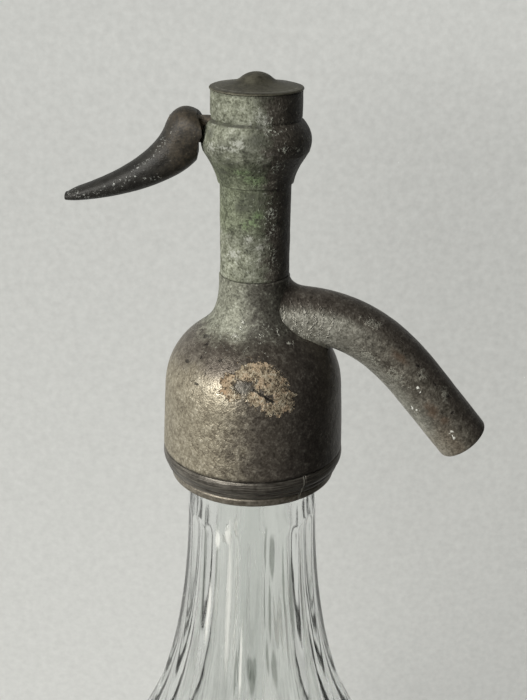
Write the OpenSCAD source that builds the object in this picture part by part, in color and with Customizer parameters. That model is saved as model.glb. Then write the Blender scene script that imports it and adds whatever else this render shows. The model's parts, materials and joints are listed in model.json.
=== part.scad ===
// Soda siphon: a fluted glass bottle under a turned metal head, with a thumb lever and a bent spout.
// The origin is the middle of the flat base and +Z is up. The spout leaves towards +X, the lever towards -X.
// Heights inside the head are counted from the ring's top edge, where the bell meets the split ring.

/* [Bottle] */
// Height of the ring's top edge above the table
head_z = 230; // [205:1:260]
// Radius of the body
body_r = 54; // [50:0.5:60]
// Radius of the flat base
base_r = 46; // [40:0.5:48]
// Height of the rounded heel
heel_h = 10; // [6:0.5:14]
// Radius of the neck where the flutes start
neck_r = 20; // [19.2:0.1:21]
// Radius of the smooth neck inside the ring
collar_r = 19.1; // [18.5:0.1:19.2]
// Depth below the ring's top edge at which the flutes start
flute_drop = 20; // [14:0.5:30]
// Depth below the ring's top edge at which the shoulder reaches the full body
shoulder_drop = 170; // [150:1:185]
// How far the neck runs on before the shoulder swings out
neck_pull = 92; // [80:1:105]
// How far the shoulder reaches up from the full body
shoulder_pull = 60; // [30:1:66]
// Number of flutes round the bottle
flutes = 16; // [10:1:20]
// Depth of a flute for each millimetre of radius
flute_ratio = 0.042; // [0.02:0.002:0.06]
// Height of the arch that ends a flute on the neck
neck_arch_h = 5; // [3:0.5:8]
// Height of the arch that ends a flute on the body
body_arch_h = 12; // [6:0.5:16]
// Height above the table at which the flutes end
flute_foot_z = 11; // [10:0.5:20]
// Thickness of the bottom
bottom_t = 9; // [6:0.5:12]
// Wall of the body
glass_wall = 5; // [4:0.25:7]
// Radius of the mouth
mouth_r = 11.5; // [11:0.1:13]
// Radius of the lip's bead
lip_r = 22.6; // [21.5:0.1:23.2]
// Height of the lip
lip_h = 12; // [8:0.5:14]
// Rounding of the lip's edges
lip_round = 3; // [1:0.5:4]

/* [Split ring] */
// Radius of the ring's bead
ring_r = 27.2; // [26.6:0.1:29]
// Radius of the lip under the bead
ring_lip_r = 24.9; // [24:0.1:26]
// How far the ring reaches below its top edge
ring_drop = 9.2; // [8:0.1:11]
// Height of the bead
bead_h = 6.4; // [5:0.1:7]
// Height of the threaded spigot above the top edge
spigot_h = 9; // [7.5:0.1:11]
// Height of the ledge that carries the bottle's lip
ledge_h = 6; // [4:0.1:7]
// Width of the gap at the ring's two splits
split_gap = 0.3; // [0.1:0.05:0.6]
// Direction of the split, turned from the front towards the spout
split_angle = 33.7; // [0:0.1:90]

/* [Bell] */
// Radius of the bell's bottom edge
bell_r = 27.1; // [26.8:0.1:29]
// Radius of the bell where the shoulder starts
bell_shoulder_r = 26.4; // [26:0.1:28]
// Height of the bell where the shoulder starts
bell_shoulder_z = 18; // [12:0.5:21]
// Height of the bell with its neck, up to the seam under the column
bell_h = 54; // [53:0.5:60]
// Radius of the bell's neck at the seam
bell_neck_r = 10.3; // [10.1:0.1:11.5]
// Radius of the bell's threaded bore
bell_bore_r = 24.5; // [24.3:0.1:25]
// Thickness of the gasket on the bottle's lip
gasket_t = 2.5; // [1.5:0.1:3]
// How far the gasket stays inside the lip's bead and outside its mouth
gasket_inset = 0.4; // [0.2:0.1:0.8]
// Depth of the socket that the column screws into
socket_h = 4; // [3:0.1:5]
// Gap between pieces that screw or push together
fit_gap = 0.05; // [0.02:0.01:0.1]

/* [Spout] */
// Outer radius of the spout
spout_r = 8.2; // [7.2:0.1:8.6]
// Radius of the spout's bore
spout_bore_r = 5; // [4:0.1:6]
// Height at which the spout's line leaves the bell's axis
spout_z = 43.4; // [42:0.1:44.5]
// Fall of the spout's line at its root, in degrees
spout_fall = 7; // [0:0.5:12]
// Length of the straight root from the bell's axis
root_len = 15.8; // [14:0.1:20]
// Radius of the first bend
bend_1_r = 43; // [35:1:60]
// Angle of the first bend
bend_1_angle = 33.4; // [20:0.1:45]
// Radius of the second, gentler bend
bend_2_r = 77; // [60:1:110]
// Angle of the second bend
bend_2_angle = 10.9; // [4:0.1:20]
// Length of the straight end
spout_end_len = 25.6; // [20:0.1:40]
// Radius of the port between the valve chamber and the spout
port_r = 4.2; // [3.5:0.1:4.4]

/* [Column and bulb] */
// Outer radius of the column
column_r = 10.1; // [9.9:0.1:11]
// Length of the column from the bell's seam to the bulb
column_len = 27.5; // [24:0.5:40]
// Radius of the column's bore
column_bore_r = 7.4; // [7.2:0.1:7.8]
// Thickness of the web that guides the stem
web_t = 3.5; // [2.5:0.1:5]
// Largest radius of the bulb
bulb_r = 15.4; // [15.1:0.1:16]
// Height of the bulb with the cylinder on top of it
bulb_h = 24.8; // [23.6:0.1:28]
// Radius of the cylinder on top of the bulb
rim_r = 12.7; // [12.4:0.1:13.4]
// Radius of the lever chamber in the bulb
lever_chamber_r = 10.6; // [10.4:0.1:10.9]

/* [Cap] */
// Radius of the cap
cap_r = 12.9; // [12.4:0.1:13.6]
// Thickness of the cap's rim
cap_rim_t = 0.8; // [0.6:0.1:2.5]
// Height that the cap's face climbs from its rim to the dome
cap_rise = 1.2; // [0.2:0.1:2]
// Height of the dome on the cap
dome_h = 2.6; // [1.5:0.1:4]
// Radius of the dome's foot
dome_r = 4.9; // [4:0.1:5.2]
// Distance of the spanner hole from the axis
spanner_r = 6.4; // [6:0.1:8]
// Radius of the spanner hole
spanner_hole_r = 0.8; // [0.5:0.1:1]
// Length of the cap's threaded plug
plug_h = 5.2; // [3:0.1:5.4]
// Wall of the cap's plug
plug_wall = 1.6; // [1:0.1:1.8]

/* [Lever] */
// Distance of the hinge pin from the axis
pivot_x = 13.2; // [13:0.1:13.6]
// Height of the hinge pin above the web
pivot_h = 13.5; // [13:0.1:14]
// Radius of the hinge pin
pin_r = 1.25; // [1:0.05:1.4]
// Running gap of the pin in the lever's arm
pin_gap = 0.05; // [0.02:0.01:0.1]
// Thickness of the lever's arm
arm_t = 5; // [4:0.1:5.2]
// Radius of the arm's boss round the pin
boss_r = 3.6; // [3:0.1:4.1]
// Radius of the arm's rounded nose
nose_r = 2.2; // [1.8:0.1:2.3]
// Length of the arm's tang, from the pin into the handle
tang_len = 10.5; // [8:0.1:12]
// Reach of the handle, from the pin to its tip
horn_len = 39.6; // [36:0.1:46]
// How far the underside of the tip lies below the pin
horn_drop = 20.2; // [16:0.1:24]
// Thickness of the handle at its tip
horn_tip_t = 2.9; // [1.5:0.1:4]
// Distance from the pin at which the handle's round back turns down
horn_back = 11.8; // [11.2:0.1:13]
// Height of the handle's round back above the pin
horn_rise = 6.6; // [6.2:0.1:8]
// Length of the rounding at the tip
horn_tip_round = 1; // [0.4:0.1:1.5]
// How far the valve lifts when the lever is pressed
lift = 3.3; // [2:0.1:3.4]
// Half the width of the handle at its root
handle_root_w = 7.4; // [6:0.1:9]
// Half the width of the handle at its tip
handle_tip_w = 3.4; // [2.5:0.1:6]
// Gap between the handle's hollow face and the bulb
handle_gap = 0.9; // [0.6:0.1:1.5]
// Gap at each side of the arm in the bulb's slot
slot_gap = 0.3; // [0.2:0.05:0.5]
// Gap above and below the arm's nose in the crosshead
nose_gap = 0.25; // [0.15:0.05:0.4]

/* [Valve] */
// Radius of the stem
stem_r = 2; // [1.6:0.1:2.2]
// Running gap of the stem in its guide and its packing
stem_gap = 0.05; // [0.02:0.01:0.1]
// Radius of the valve chamber
chamber_r = 6; // [5.8:0.1:6.4]
// Radius of the valve seat's bush
seat_r = 7; // [6.8:0.1:7.4]
// Height of the valve seat's bush
seat_h = 3.5; // [2.5:0.1:4]
// Height of the raised lip on the seat
seat_lip_h = 0.6; // [0.4:0.1:1]
// Radius of the passage through the seat
seat_bore_r = 2.6; // [2:0.1:3]
// Radius of the soft valve disc
valve_r = 4.2; // [3.9:0.1:4.4]
// Thickness of the soft valve disc
valve_t = 1.8; // [1.2:0.1:2.4]
// Radius of the cup that holds the disc
cup_r = 5; // [4.9:0.1:5.2]
// Height of the cup
cup_h = 5; // [4:0.1:5.5]
// Thickness of the cup's floor between the disc and the stem
cup_floor_t = 1.2; // [0.8:0.1:2]
// Thickness of the packing round the stem
packing_t = 1.6; // [1:0.1:2]
// Thickness of the metal ring on the packing
packing_ring_t = 0.9; // [0.6:0.1:1.2]
// Radius of the packing and its ring
packing_r = 7.5; // [7:0.1:7.8]
// Radius of the crosshead
crosshead_r = 8.4; // [8:0.1:8.5]
// Metal left between the stem's end and the crosshead's mortise
stem_end_t = 2; // [1.5:0.1:3]
// Height of the crosshead
crosshead_h = 16; // [15.8:0.1:16.6]
// Thickness of the lock nut under the crosshead
nut_t = 2.2; // [1.5:0.1:2.4]
// Width of the lock nut across its corners
nut_w = 7; // [6:0.1:8]
// Gap between the lock nut and the column's web when the valve is shut
nut_gap = 0.3; // [0.2:0.1:0.6]

/* [Spring] */
// Radius of the spring's coil at the middle of its wire
coil_r = 5.2; // [4.6:0.1:5.6]
// Radius of the spring's wire
wire_r = 0.7; // [0.5:0.05:0.8]
// Number of turns
turns = 7; // [5:1:8]
// Height of the spring's seat above the bell's seam
spring_seat_h = 4.5; // [2:0.1:6]
// Thickness of the two spring washers
washer_t = 1.2; // [0.8:0.1:1.5]
// Radius of the two spring washers
washer_r = 6.7; // [6.2:0.1:7]

/* [Dip tube] */
// Outer radius of the dip tube
tube_r = 4; // [3.5:0.1:4.2]
// Radius of the dip tube's bore
tube_bore_r = 2.4; // [1.8:0.1:2.8]
// Gap between the dip tube's end and the bottle's floor
tube_floor_gap = 7; // [4:0.5:12]
// Outer radius of the tube's sleeve
sleeve_r = 6.5; // [6:0.1:6.8]
// How far the sleeve reaches above the bell's ceiling
sleeve_insert = 3.5; // [2:0.1:5]
// Radius of the tube holder's thread
holder_r = 8.4; // [8:0.1:9]
// Height of the tube holder's thread
holder_h = 9.5; // [7:0.1:10]
// Length of the tube holder's skirt below the bell's ceiling
skirt_len = 14.5; // [10:0.5:16]
// Thickness of the tube holder's hexagon
hexagon_t = 3; // [2:0.1:4]
// Width of the tube holder's hexagon across its corners
hexagon_w = 20.6; // [19:0.1:21.4]

/* [Hidden] */
$fn = 72;
round_edge = 0.4;
steps = 6;
horn_steps = 10;
joint_band_h = 0.02;
shoulder_rings = 22;
flute_sides = 5;
lift_angle = asin(lift / pivot_x);
rest_lift = 0.02;

// Heights in the head, from the ring's top edge
lip_top_z = ledge_h + lip_h;
ceiling_z = lip_top_z + gasket_t;
holder_top_z = ceiling_z + holder_h;
seat_top_z = holder_top_z + seat_h;
valve_z = seat_top_z + seat_lip_h + rest_lift;
foot_z = bell_h - socket_h;
chamber_top_z = foot_z - packing_ring_t - packing_t;
web_top_z = bell_h + column_len;
web_z = web_top_z - web_t;
column_top_z = web_top_z + bulb_h;
pivot_z = web_top_z + pivot_h;
spring_z = bell_h + spring_seat_h + washer_t;
spring_top_z = web_z - washer_t;
nut_z = web_top_z + nut_gap;
crosshead_z = nut_z + nut_t;
crosshead_top_z = crosshead_z + crosshead_h;
stem_z = valve_z + valve_t + cup_floor_t;
stem_top_z = pivot_z - nose_r - stem_end_t;
sleeve_z = ceiling_z - skirt_len;
sleeve_top_z = ceiling_z + sleeve_insert;
tube_top_z = sleeve_top_z - 0.2;

// Radii that follow from a fit
socket_r = column_bore_r + 1.1;
spigot_r = bell_bore_r - 0.1;
guide_r = crosshead_r + 0.5;
tang_top = boss_r;
tang_bottom = -3;

function bezier(a, b, c, d, n, power = 1) = [for (i = [0:n]) let (t = pow(i / n, power), u = 1 - t)
    u * u * u * a + 3 * u * u * t * b + 3 * u * t * t * c + t * t * t * d];

function reversed(list) = [for (i = [len(list) - 1:-1:0]) list[i]];

module on_head() {
    translate([0, 0, head_z])
        children();
}

module turned(outline) {
    on_head()
        rotate_extrude()
            polygon(outline);
}

module washer(z, t, outer_r, inner_r) {
    turned([[inner_r, z], [outer_r, z], [outer_r, z + t], [inner_r, z + t]]);
}

// A closed skin over rings of equal numbers of points, with a flat face over the first and the last ring.
module skin(rings) {
    n = len(rings[0]);
    last = (len(rings) - 1) * n;
    sides = [for (i = [0:len(rings) - 2], j = [0:n - 1], half = [0, 1])
        let (a = i * n + j, b = i * n + (j + 1) % n)
        half == 0 ? [a, a + n, b] : [b, a + n, b + n]];
    first_face = [for (j = [0:n - 1]) j];
    last_face = [for (j = [n - 1:-1:0]) last + j];
    polyhedron([for (ring = rings) for (p = ring) p], concat(sides, [first_face, last_face]));
}

// ---- Bottle ----

// How deep the flutes are at a height, from 0 at the tips of the arches to 1 between them.
function arch(z, u) =
    let (from_neck = (z - (head_z - flute_drop - neck_arch_h)) / neck_arch_h,
        from_foot = (flute_foot_z + body_arch_h - z) / body_arch_h,
        w = max(0, from_neck, from_foot))
    max(0, 1 - u * u - w * w);

function glass_ring(r, z, fluted) =
    [for (i = [0:flutes - 1], k = [0:flute_sides - 1])
        let (u = 2 * k / flute_sides - 1,
            turn = 360 * (i + k / flute_sides) / flutes - 90,
            depth = fluted ? flute_ratio * r * arch(z, u) : 0)
        [(r - depth) * cos(turn), (r - depth) * sin(turn), z]];

function shoulder_curve(low_r, high_r, high_drop, n) =
    bezier([high_r, head_z - high_drop], [high_r + 0.03 * neck_pull, head_z - high_drop - neck_pull],
        [low_r, head_z - shoulder_drop + shoulder_pull], [low_r, head_z - shoulder_drop], n, 2);

function glass_outside() = concat(
    [for (i = [0:steps]) let (a = 90 * i / steps)
        [base_r + (body_r - base_r) * sin(a), heel_h * (1 - cos(a))]],
    [for (i = [1:4]) [body_r, flute_foot_z + body_arch_h * i / 4]],
    reversed(shoulder_curve(body_r, neck_r, flute_drop, shoulder_rings)),
    [[collar_r, head_z - ring_drop], [collar_r, head_z + ledge_h], [lip_r - lip_round, head_z + ledge_h]],
    [for (i = [0:4]) let (a = 90 * i / 4)
        [lip_r - lip_round * (1 - sin(a)), head_z + ledge_h + lip_round * (1 - cos(a))]],
    [for (i = [0:4]) let (a = 90 * i / 4)
        [lip_r - lip_round * (1 - cos(a)), head_z + lip_top_z - lip_round * (1 - sin(a))]]);

function glass_inside() = concat(
    [[mouth_r + 0.8, head_z + lip_top_z], [mouth_r, head_z + lip_top_z - 1.2]],
    shoulder_curve(body_r - glass_wall, mouth_r, flute_drop + 8, 12),
    [for (i = [0:4]) let (a = 90 * i / 4, inner_r = body_r - glass_wall)
        [inner_r - heel_h * (1 - cos(a)), bottom_t + heel_h * (1 - sin(a))]]);

module bottle() {
    outside = [for (p = glass_outside()) glass_ring(p[0], p[1], true)];
    inside = [for (p = glass_inside()) glass_ring(p[0], p[1], false)];
    color([0.8, 0.88, 0.86, 0.6])
        skin(concat(outside, inside));
}

// ---- Split ring and gasket ----

function ring_outline() = concat(
    [[collar_r + 0.3, spigot_h], [collar_r + 0.3, -ring_drop + 0.6], [collar_r + 0.9, -ring_drop]],
    [[ring_lip_r - 1.2, -ring_drop], [ring_lip_r, -ring_drop + 0.9], [ring_lip_r, -bead_h - 0.6]],
    bezier([ring_lip_r + 0.3, -bead_h], [ring_r - 0.4, -bead_h + 0.8], [ring_r, -bead_h / 2],
        [ring_r - 0.1, -round_edge], steps),
    [[ring_r - 0.6, 0], [spigot_r, 0], [spigot_r, spigot_h]]);

module ring_whole() {
    difference() {
        turned(ring_outline());
        // The counterbore that holds the bottle's lip
        on_head()
            translate([0, 0, ledge_h])
                cylinder(r = lip_r + 0.3, h = spigot_h);
    }
}

module ring_half(side) {
    size = 2 * ring_r;
    color([0.3, 0.28, 0.26])
        difference() {
            ring_whole();
            on_head()
                rotate([0, 0, split_angle - 90])
                    translate([-size, side * size - size - side * split_gap / 2, -size])
                        cube(2 * size);
        }
}

module ring_front_half() {
    ring_half(1);
}

module ring_back_half() {
    ring_half(-1);
}

module neck_gasket() {
    color([0.12, 0.11, 0.1])
        washer(lip_top_z, gasket_t, lip_r - gasket_inset, mouth_r + gasket_inset);
}

// ---- Bell and spout ----

function bell_outside() = concat(
    [[bell_r - round_edge, 0], [bell_r, round_edge]],
    bezier([bell_shoulder_r, bell_shoulder_z], [bell_shoulder_r, bell_shoulder_z + 10],
        [bell_neck_r + 11.5, bell_h - 20.4], [bell_neck_r + 6.7, bell_h - 17], 8),
    bezier([bell_neck_r + 6, bell_h - 16.5], [bell_neck_r + 3.2, bell_h - 14.5],
        [bell_neck_r + 0.3, bell_h - 12], [bell_neck_r, bell_h - 3], 8),
    [[bell_neck_r, bell_h]]);

module bell() {
    color([0.42, 0.39, 0.35])
        difference() {
            turned(concat([[bell_bore_r, 0]], bell_outside(), [
                [socket_r + fit_gap, bell_h], [socket_r + fit_gap, foot_z],
                [packing_r + fit_gap, foot_z], [packing_r + fit_gap, chamber_top_z],
                [chamber_r, chamber_top_z], [chamber_r, seat_top_z],
                [seat_r + fit_gap, seat_top_z], [seat_r + fit_gap, holder_top_z],
                [holder_r + fit_gap, holder_top_z], [holder_r + fit_gap, ceiling_z],
                [bell_bore_r, ceiling_z]]));
            at_spout_root()
                cylinder(r = port_r, h = root_len);
        }
}

module at_spout_root() {
    on_head()
        translate([0, 0, spout_z])
            rotate([0, 90 + spout_fall, 0])
                children();
}

// A low band over the joint of two stretches of the pipe, so that they meet with no crack between them.
module joint_band(r) {
    band_w = 0.2;
    translate([0, 0, -band_w / 2])
        cylinder(r = r + joint_band_h, h = band_w);
}

// A bent stretch of the pipe, with its children carried on to its end.
module bend(r, bend_r, angle) {
    joint_band(r);
    translate([bend_r, 0, 0])
        mirror([1, 0, 0])
            rotate([90, 0, 0])
                rotate_extrude(angle = angle)
                    translate([bend_r, 0])
                        circle(r = r);
    translate([bend_r * (1 - cos(angle)), 0, bend_r * sin(angle)])
        rotate([0, angle, 0])
            children();
}

// The spout's line as a solid rod: the straight root, two bends and the straight end.
module spout_rod(r, end_len, edge) {
    at_spout_root() {
        cylinder(r = r, h = root_len);
        translate([0, 0, root_len])
            bend(r, bend_1_r, bend_1_angle)
                bend(r, bend_2_r, bend_2_angle) {
                    joint_band(r);
                    rotate_extrude()
                        polygon([[0, 0], [r, 0], [r, end_len - edge], [r - edge, end_len], [0, end_len]]);
                }
    }
}

module spout() {
    color([0.36, 0.33, 0.3])
        difference() {
            spout_rod(spout_r, spout_end_len, 0.7);
            spout_rod(spout_bore_r, spout_end_len + 1, 0);
            turned(concat([[0, 0]], bell_outside(), [[0, bell_h]]));
        }
}

// ---- Column and cap ----

function bulb_outside() = concat(
    bezier([column_r + 0.8, web_top_z + 0.3], [column_r + 1.5, web_top_z + 3],
        [bulb_r - 2.2, pivot_z - 8], [bulb_r - 0.5, pivot_z - 5.2], 5),
    bezier([bulb_r - 0.35, pivot_z - 4.6], [bulb_r + 0.25, pivot_z - 2.8],
        [bulb_r + 0.2, pivot_z + 0.8], [rim_r + 0.2, pivot_z + 3.2], 8));

// The bulb as a plain form without its slot, larger all round by the gap
module bulb_form(gap) {
    turned(concat([[0, web_top_z]], [for (p = bulb_outside()) p + [gap, 0]], [[rim_r + gap, column_top_z],
        [0, column_top_z]]));
}

module column() {
    step_z = web_top_z - 0.9;
    ledge_z = web_top_z + 4.5;
    slot_w = arm_t + 2 * slot_gap;
    color([0.5, 0.53, 0.45])
        difference() {
            turned(concat(
                [[column_bore_r, foot_z], [socket_r, foot_z], [socket_r, bell_h]],
                [[column_r - 0.1, bell_h], [column_r - 0.1, step_z], [column_r + 0.6, step_z],
                    [column_r + 0.6, web_top_z]],
                bulb_outside(),
                [[rim_r, pivot_z + 3.7], [rim_r, column_top_z - 1], [rim_r + 0.15, column_top_z],
                    [lever_chamber_r, column_top_z], [lever_chamber_r, ledge_z], [guide_r, ledge_z],
                    [guide_r, web_top_z], [stem_r + stem_gap, web_top_z], [stem_r + stem_gap, web_z],
                    [column_bore_r, web_z]]));
            // The slot that the lever's arm comes out of
            on_head()
                translate([-bulb_r - 1, -slot_w / 2, pivot_z - boss_r - 1.2])
                    cube([bulb_r + 1 - guide_r + 2, slot_w, 2 * boss_r + 2]);
            at_pivot()
                rotate([90, 0, 0])
                    cylinder(r = pin_r + fit_gap / 2, h = 2 * bulb_r, center = true);
        }
}

module cap() {
    rim_z = column_top_z + cap_rim_t;
    crown_z = rim_z + cap_rise;
    plug_r = lever_chamber_r - 0.1;
    spanner_turn = 137;
    color([0.33, 0.31, 0.28])
        difference() {
            turned(concat(
                [[0, column_top_z + 0.4], [plug_r - plug_wall, column_top_z + 0.4],
                    [plug_r - plug_wall, column_top_z - plug_h], [plug_r, column_top_z - plug_h],
                    [plug_r, column_top_z], [cap_r, column_top_z], [cap_r, rim_z - round_edge],
                    [cap_r - round_edge, rim_z]],
                bezier([dome_r, crown_z], [dome_r - 1, crown_z + 0.2],
                    [dome_r - 1.2, crown_z + dome_h / 2], [dome_r - 1.9, crown_z + dome_h * 0.62], 4),
                bezier([dome_r - 2.1, crown_z + dome_h * 0.68], [dome_r - 2.9, crown_z + dome_h * 0.95],
                    [1, crown_z + dome_h], [0, crown_z + dome_h], 4)));
            on_head()
                rotate([0, 0, spanner_turn])
                    translate([spanner_r, 0, rim_z - 1])
                        cylinder(r = spanner_hole_r, h = 2, $fn = 24);
        }
}

// ---- Lever ----

module at_pivot() {
    on_head()
        translate([-pivot_x, 0, pivot_z])
            children();
}

// The horn's upper and lower edges, from the pin: out of the root, over its round end and down to the tip.
function horn_top() = let (turn_point = [-horn_back, 0.15 * horn_rise],
        run = bezier(turn_point, [-0.38 * horn_len, -0.33 * horn_drop],
            [-0.67 * horn_len, -0.65 * horn_drop], [-horn_len, horn_tip_t - horn_drop], horn_steps))
    concat(bezier([-0.14 * horn_back, 0.67 * horn_rise], [-0.49 * horn_back, 1.19 * horn_rise],
        [-0.83 * horn_back, 0.97 * horn_rise], turn_point, steps),
        [for (i = [1:horn_steps]) run[i]]);

// The same number of points as the upper edge has, with the first quarter of the curve under the round back.
function horn_bottom() = let (n = 50, back = 0.24 * n,
        edge = bezier([-0.085 * horn_back, -0.67 * horn_rise], [-0.18 * horn_back, -0.58 * horn_drop],
            [-0.495 * horn_len, -0.955 * horn_drop], [-horn_len, -horn_drop], n))
    concat([for (i = [0:steps]) edge[round(back * i / steps)]],
        [for (i = [1:horn_steps]) edge[round(back + (n - back) * i / horn_steps)]]);

function horn_half_width(i, n) = let (t = i / n)
    handle_root_w + (handle_tip_w - handle_root_w) * pow(t, 1.3);

function horn_ring(top, bottom, half_w) = let (fullness = 0.85, points = 24)
    [for (k = [0:points - 1]) let (a = 360 * k / points, c = cos(a), s = sin(a),
            up = sign(s) * pow(abs(s), fullness), out = sign(c) * pow(abs(c), fullness),
            middle = (top + bottom) / 2, half = (top - bottom) / 2)
        [middle[0] + half[0] * up, half_w * out, middle[1] + half[1] * up]];

module lever_handle() {
    top = horn_top();
    bottom = horn_bottom();
    last = len(top) - 1;
    middle = (top[last] + bottom[last]) / 2;
    half = (top[last] - bottom[last]) / 2;
    tip_middle = middle - [horn_tip_round, 0];
    tip = horn_ring(tip_middle + half * 0.6, tip_middle - half * 0.6, handle_tip_w * 0.7);
    body = [for (i = [0:last]) horn_ring(top[i], bottom[i], horn_half_width(i, last))];
    color([0.17, 0.16, 0.15])
        difference() {
            at_pivot()
                skin(reversed(concat(body, [tip])));
            // The hollow face is straight at rest, and clears the bulb when the lever is pressed
            on_head()
                cylinder(r = bulb_r + handle_gap, h = 2 * pivot_z);
            at_pivot()
                rotate([0, lift_angle, 0])
                    translate([pivot_x, 0, -pivot_z - head_z])
                        bulb_form(handle_gap);
            at_pivot()
                tang(fit_gap);
        }
}

module tang(gap) {
    translate([-tang_len - gap, -arm_t / 2 - gap, tang_bottom - gap])
        cube([tang_len + gap, arm_t + 2 * gap, tang_top - tang_bottom + 2 * gap]);
}

module lever_arm() {
    color([0.3, 0.29, 0.27])
        at_pivot()
            difference() {
                union() {
                    tang(0);
                    rotate([90, 0, 0])
                        linear_extrude(arm_t, center = true) {
                            circle(r = boss_r);
                            translate([pivot_x, 0])
                                circle(r = nose_r);
                            polygon([[0, -boss_r], [pivot_x, -nose_r], [pivot_x, nose_r], [0, boss_r]]);
                        }
                }
                rotate([90, 0, 0])
                    cylinder(r = pin_r + pin_gap, h = 2 * arm_t, center = true);
            }
}

module lever_pin() {
    color([0.35, 0.33, 0.3])
        intersection() {
            at_pivot()
                rotate([90, 0, 0])
                    cylinder(r = pin_r, h = 2 * bulb_r, center = true);
            // Its ends are filed flush with the bulb
            bulb_form(0);
        }
}

// ---- Valve rod ----

module valve_stem() {
    stem_collar_r = stem_r + 1.4;
    stem_collar_h = 1.5;
    collar_top_z = bell_h + spring_seat_h;
    collar_z = collar_top_z - stem_collar_h;
    color("darkgoldenrod")
        turned([[0, stem_z], [stem_r, stem_z], [stem_r, collar_z], [stem_collar_r, collar_z],
            [stem_collar_r, collar_top_z], [stem_r, collar_top_z], [stem_r, stem_top_z - round_edge],
            [stem_r - round_edge, stem_top_z], [0, stem_top_z]]);
}

module crosshead() {
    pocket = nose_r + nose_gap;
    inner_x = nose_r + 1.2;
    outer_x = crosshead_r + 1;
    arm_taper = atan((boss_r - nose_r) / pivot_x);
    top_flare = outer_x * tan(arm_taper);
    bottom_flare = (outer_x + nose_gap) * tan(arm_taper + lift_angle + 1);
    color("goldenrod")
        difference() {
            turned([[stem_r + fit_gap, crosshead_z], [crosshead_r - round_edge, crosshead_z],
                [crosshead_r, crosshead_z + round_edge], [crosshead_r, crosshead_top_z - 1],
                [crosshead_r - 1, crosshead_top_z], [0, crosshead_top_z], [0, stem_top_z],
                [stem_r + fit_gap, stem_top_z]]);
            // The mortise for the arm's nose. Its roof follows the arm at rest, and its floor the arm lifted.
            on_head()
                translate([0, 0, pivot_z])
                    rotate([90, 0, 0])
                        linear_extrude(arm_t + 2 * slot_gap, center = true)
                            polygon([[inner_x, -pocket], [2 * nose_gap, -pocket],
                                [-outer_x, -pocket - bottom_flare], [-outer_x, pocket + top_flare],
                                [0, pocket], [inner_x, pocket]]);
        }
}

module lock_nut() {
    color("goldenrod")
        on_head()
            translate([0, 0, nut_z])
                difference() {
                    cylinder(d = nut_w, h = nut_t, $fn = 6);
                    translate([0, 0, -1])
                        cylinder(r = stem_r + fit_gap, h = nut_t + 2);
                }
}

module valve_holder() {
    cup_z = valve_z + valve_t / 2;
    top_z = cup_z + cup_h;
    color("goldenrod")
        turned([[valve_r + fit_gap, cup_z], [cup_r, cup_z], [cup_r, top_z - 1.5], [cup_r - 1.5, top_z],
            [stem_r + fit_gap, top_z], [stem_r + fit_gap, stem_z], [0, stem_z], [0, valve_z + valve_t],
            [valve_r + fit_gap, valve_z + valve_t]]);
}

module valve_rubber() {
    color([0.15, 0.13, 0.12])
        on_head()
            translate([0, 0, valve_z])
                cylinder(r = valve_r, h = valve_t);
}

module valve_seat() {
    lip_outer_r = seat_bore_r + 1;
    color("darkgoldenrod")
        turned([[seat_bore_r, holder_top_z], [seat_r, holder_top_z], [seat_r, seat_top_z],
            [lip_outer_r, seat_top_z], [lip_outer_r - 0.3, seat_top_z + seat_lip_h],
            [seat_bore_r, seat_top_z + seat_lip_h]]);
}

module packing_washer() {
    color([0.45, 0.3, 0.18])
        washer(chamber_top_z, packing_t, packing_r, stem_r + stem_gap);
}

module packing_ring() {
    color("goldenrod")
        washer(chamber_top_z + packing_t, packing_ring_t, packing_r, stem_r + 0.3);
}

// ---- Spring ----

module spring_seat() {
    color("goldenrod")
        washer(bell_h + spring_seat_h, washer_t, washer_r, stem_r + fit_gap);
}

module spring_washer() {
    color("goldenrod")
        washer(spring_top_z, washer_t, washer_r, stem_r + 0.3);
}

function coil_ring(turn, z) = [for (k = [0:5])
    let (a = 60 * k, r = coil_r + wire_r * cos(a)) [r * cos(turn), r * sin(turn), z + wire_r * sin(a)]];

module return_spring() {
    per_turn = 20;
    low_z = spring_z + wire_r;
    rise = spring_top_z - spring_z - 2 * wire_r;
    flat_turns = 0.75;
    flat_pitch = 2.2 * wire_r;
    wound = turns - 2 * flat_turns;
    color("silver")
        on_head()
            skin([for (i = [0:turns * per_turn]) let (t = i / per_turn,
                    share = min(1, max(0, (t - flat_turns) / wound)))
                coil_ring(360 * t, low_z + flat_pitch * (min(t, flat_turns) + max(0, t - turns + flat_turns))
                    + (rise - 2 * flat_pitch * flat_turns) * share)]);
}

// ---- Dip tube ----

module tube_holder() {
    skirt_r = holder_r - 0.6;
    color("goldenrod") {
        difference() {
            union() {
                turned([[0, sleeve_z], [skirt_r, sleeve_z], [skirt_r, ceiling_z - hexagon_t],
                    [holder_r, ceiling_z - hexagon_t], [holder_r, holder_top_z], [0, holder_top_z]]);
                on_head()
                    translate([0, 0, ceiling_z - hexagon_t])
                        cylinder(d = hexagon_w, h = hexagon_t, $fn = 6);
            }
            on_head() {
                translate([0, 0, sleeve_z - 1])
                    cylinder(r = sleeve_r + fit_gap, h = sleeve_top_z - sleeve_z + 1);
                cylinder(r = seat_bore_r + 0.4, h = holder_top_z + 1);
            }
        }
    }
}

module tube_sleeve() {
    brim_r = holder_r - 0.8;
    brim_t = 1.6;
    color([0.3, 0.2, 0.15])
        turned([[tube_r + fit_gap, sleeve_z - brim_t], [brim_r, sleeve_z - brim_t], [brim_r, sleeve_z],
            [sleeve_r, sleeve_z], [sleeve_r, sleeve_top_z], [tube_r + fit_gap, sleeve_top_z]]);
}

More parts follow.
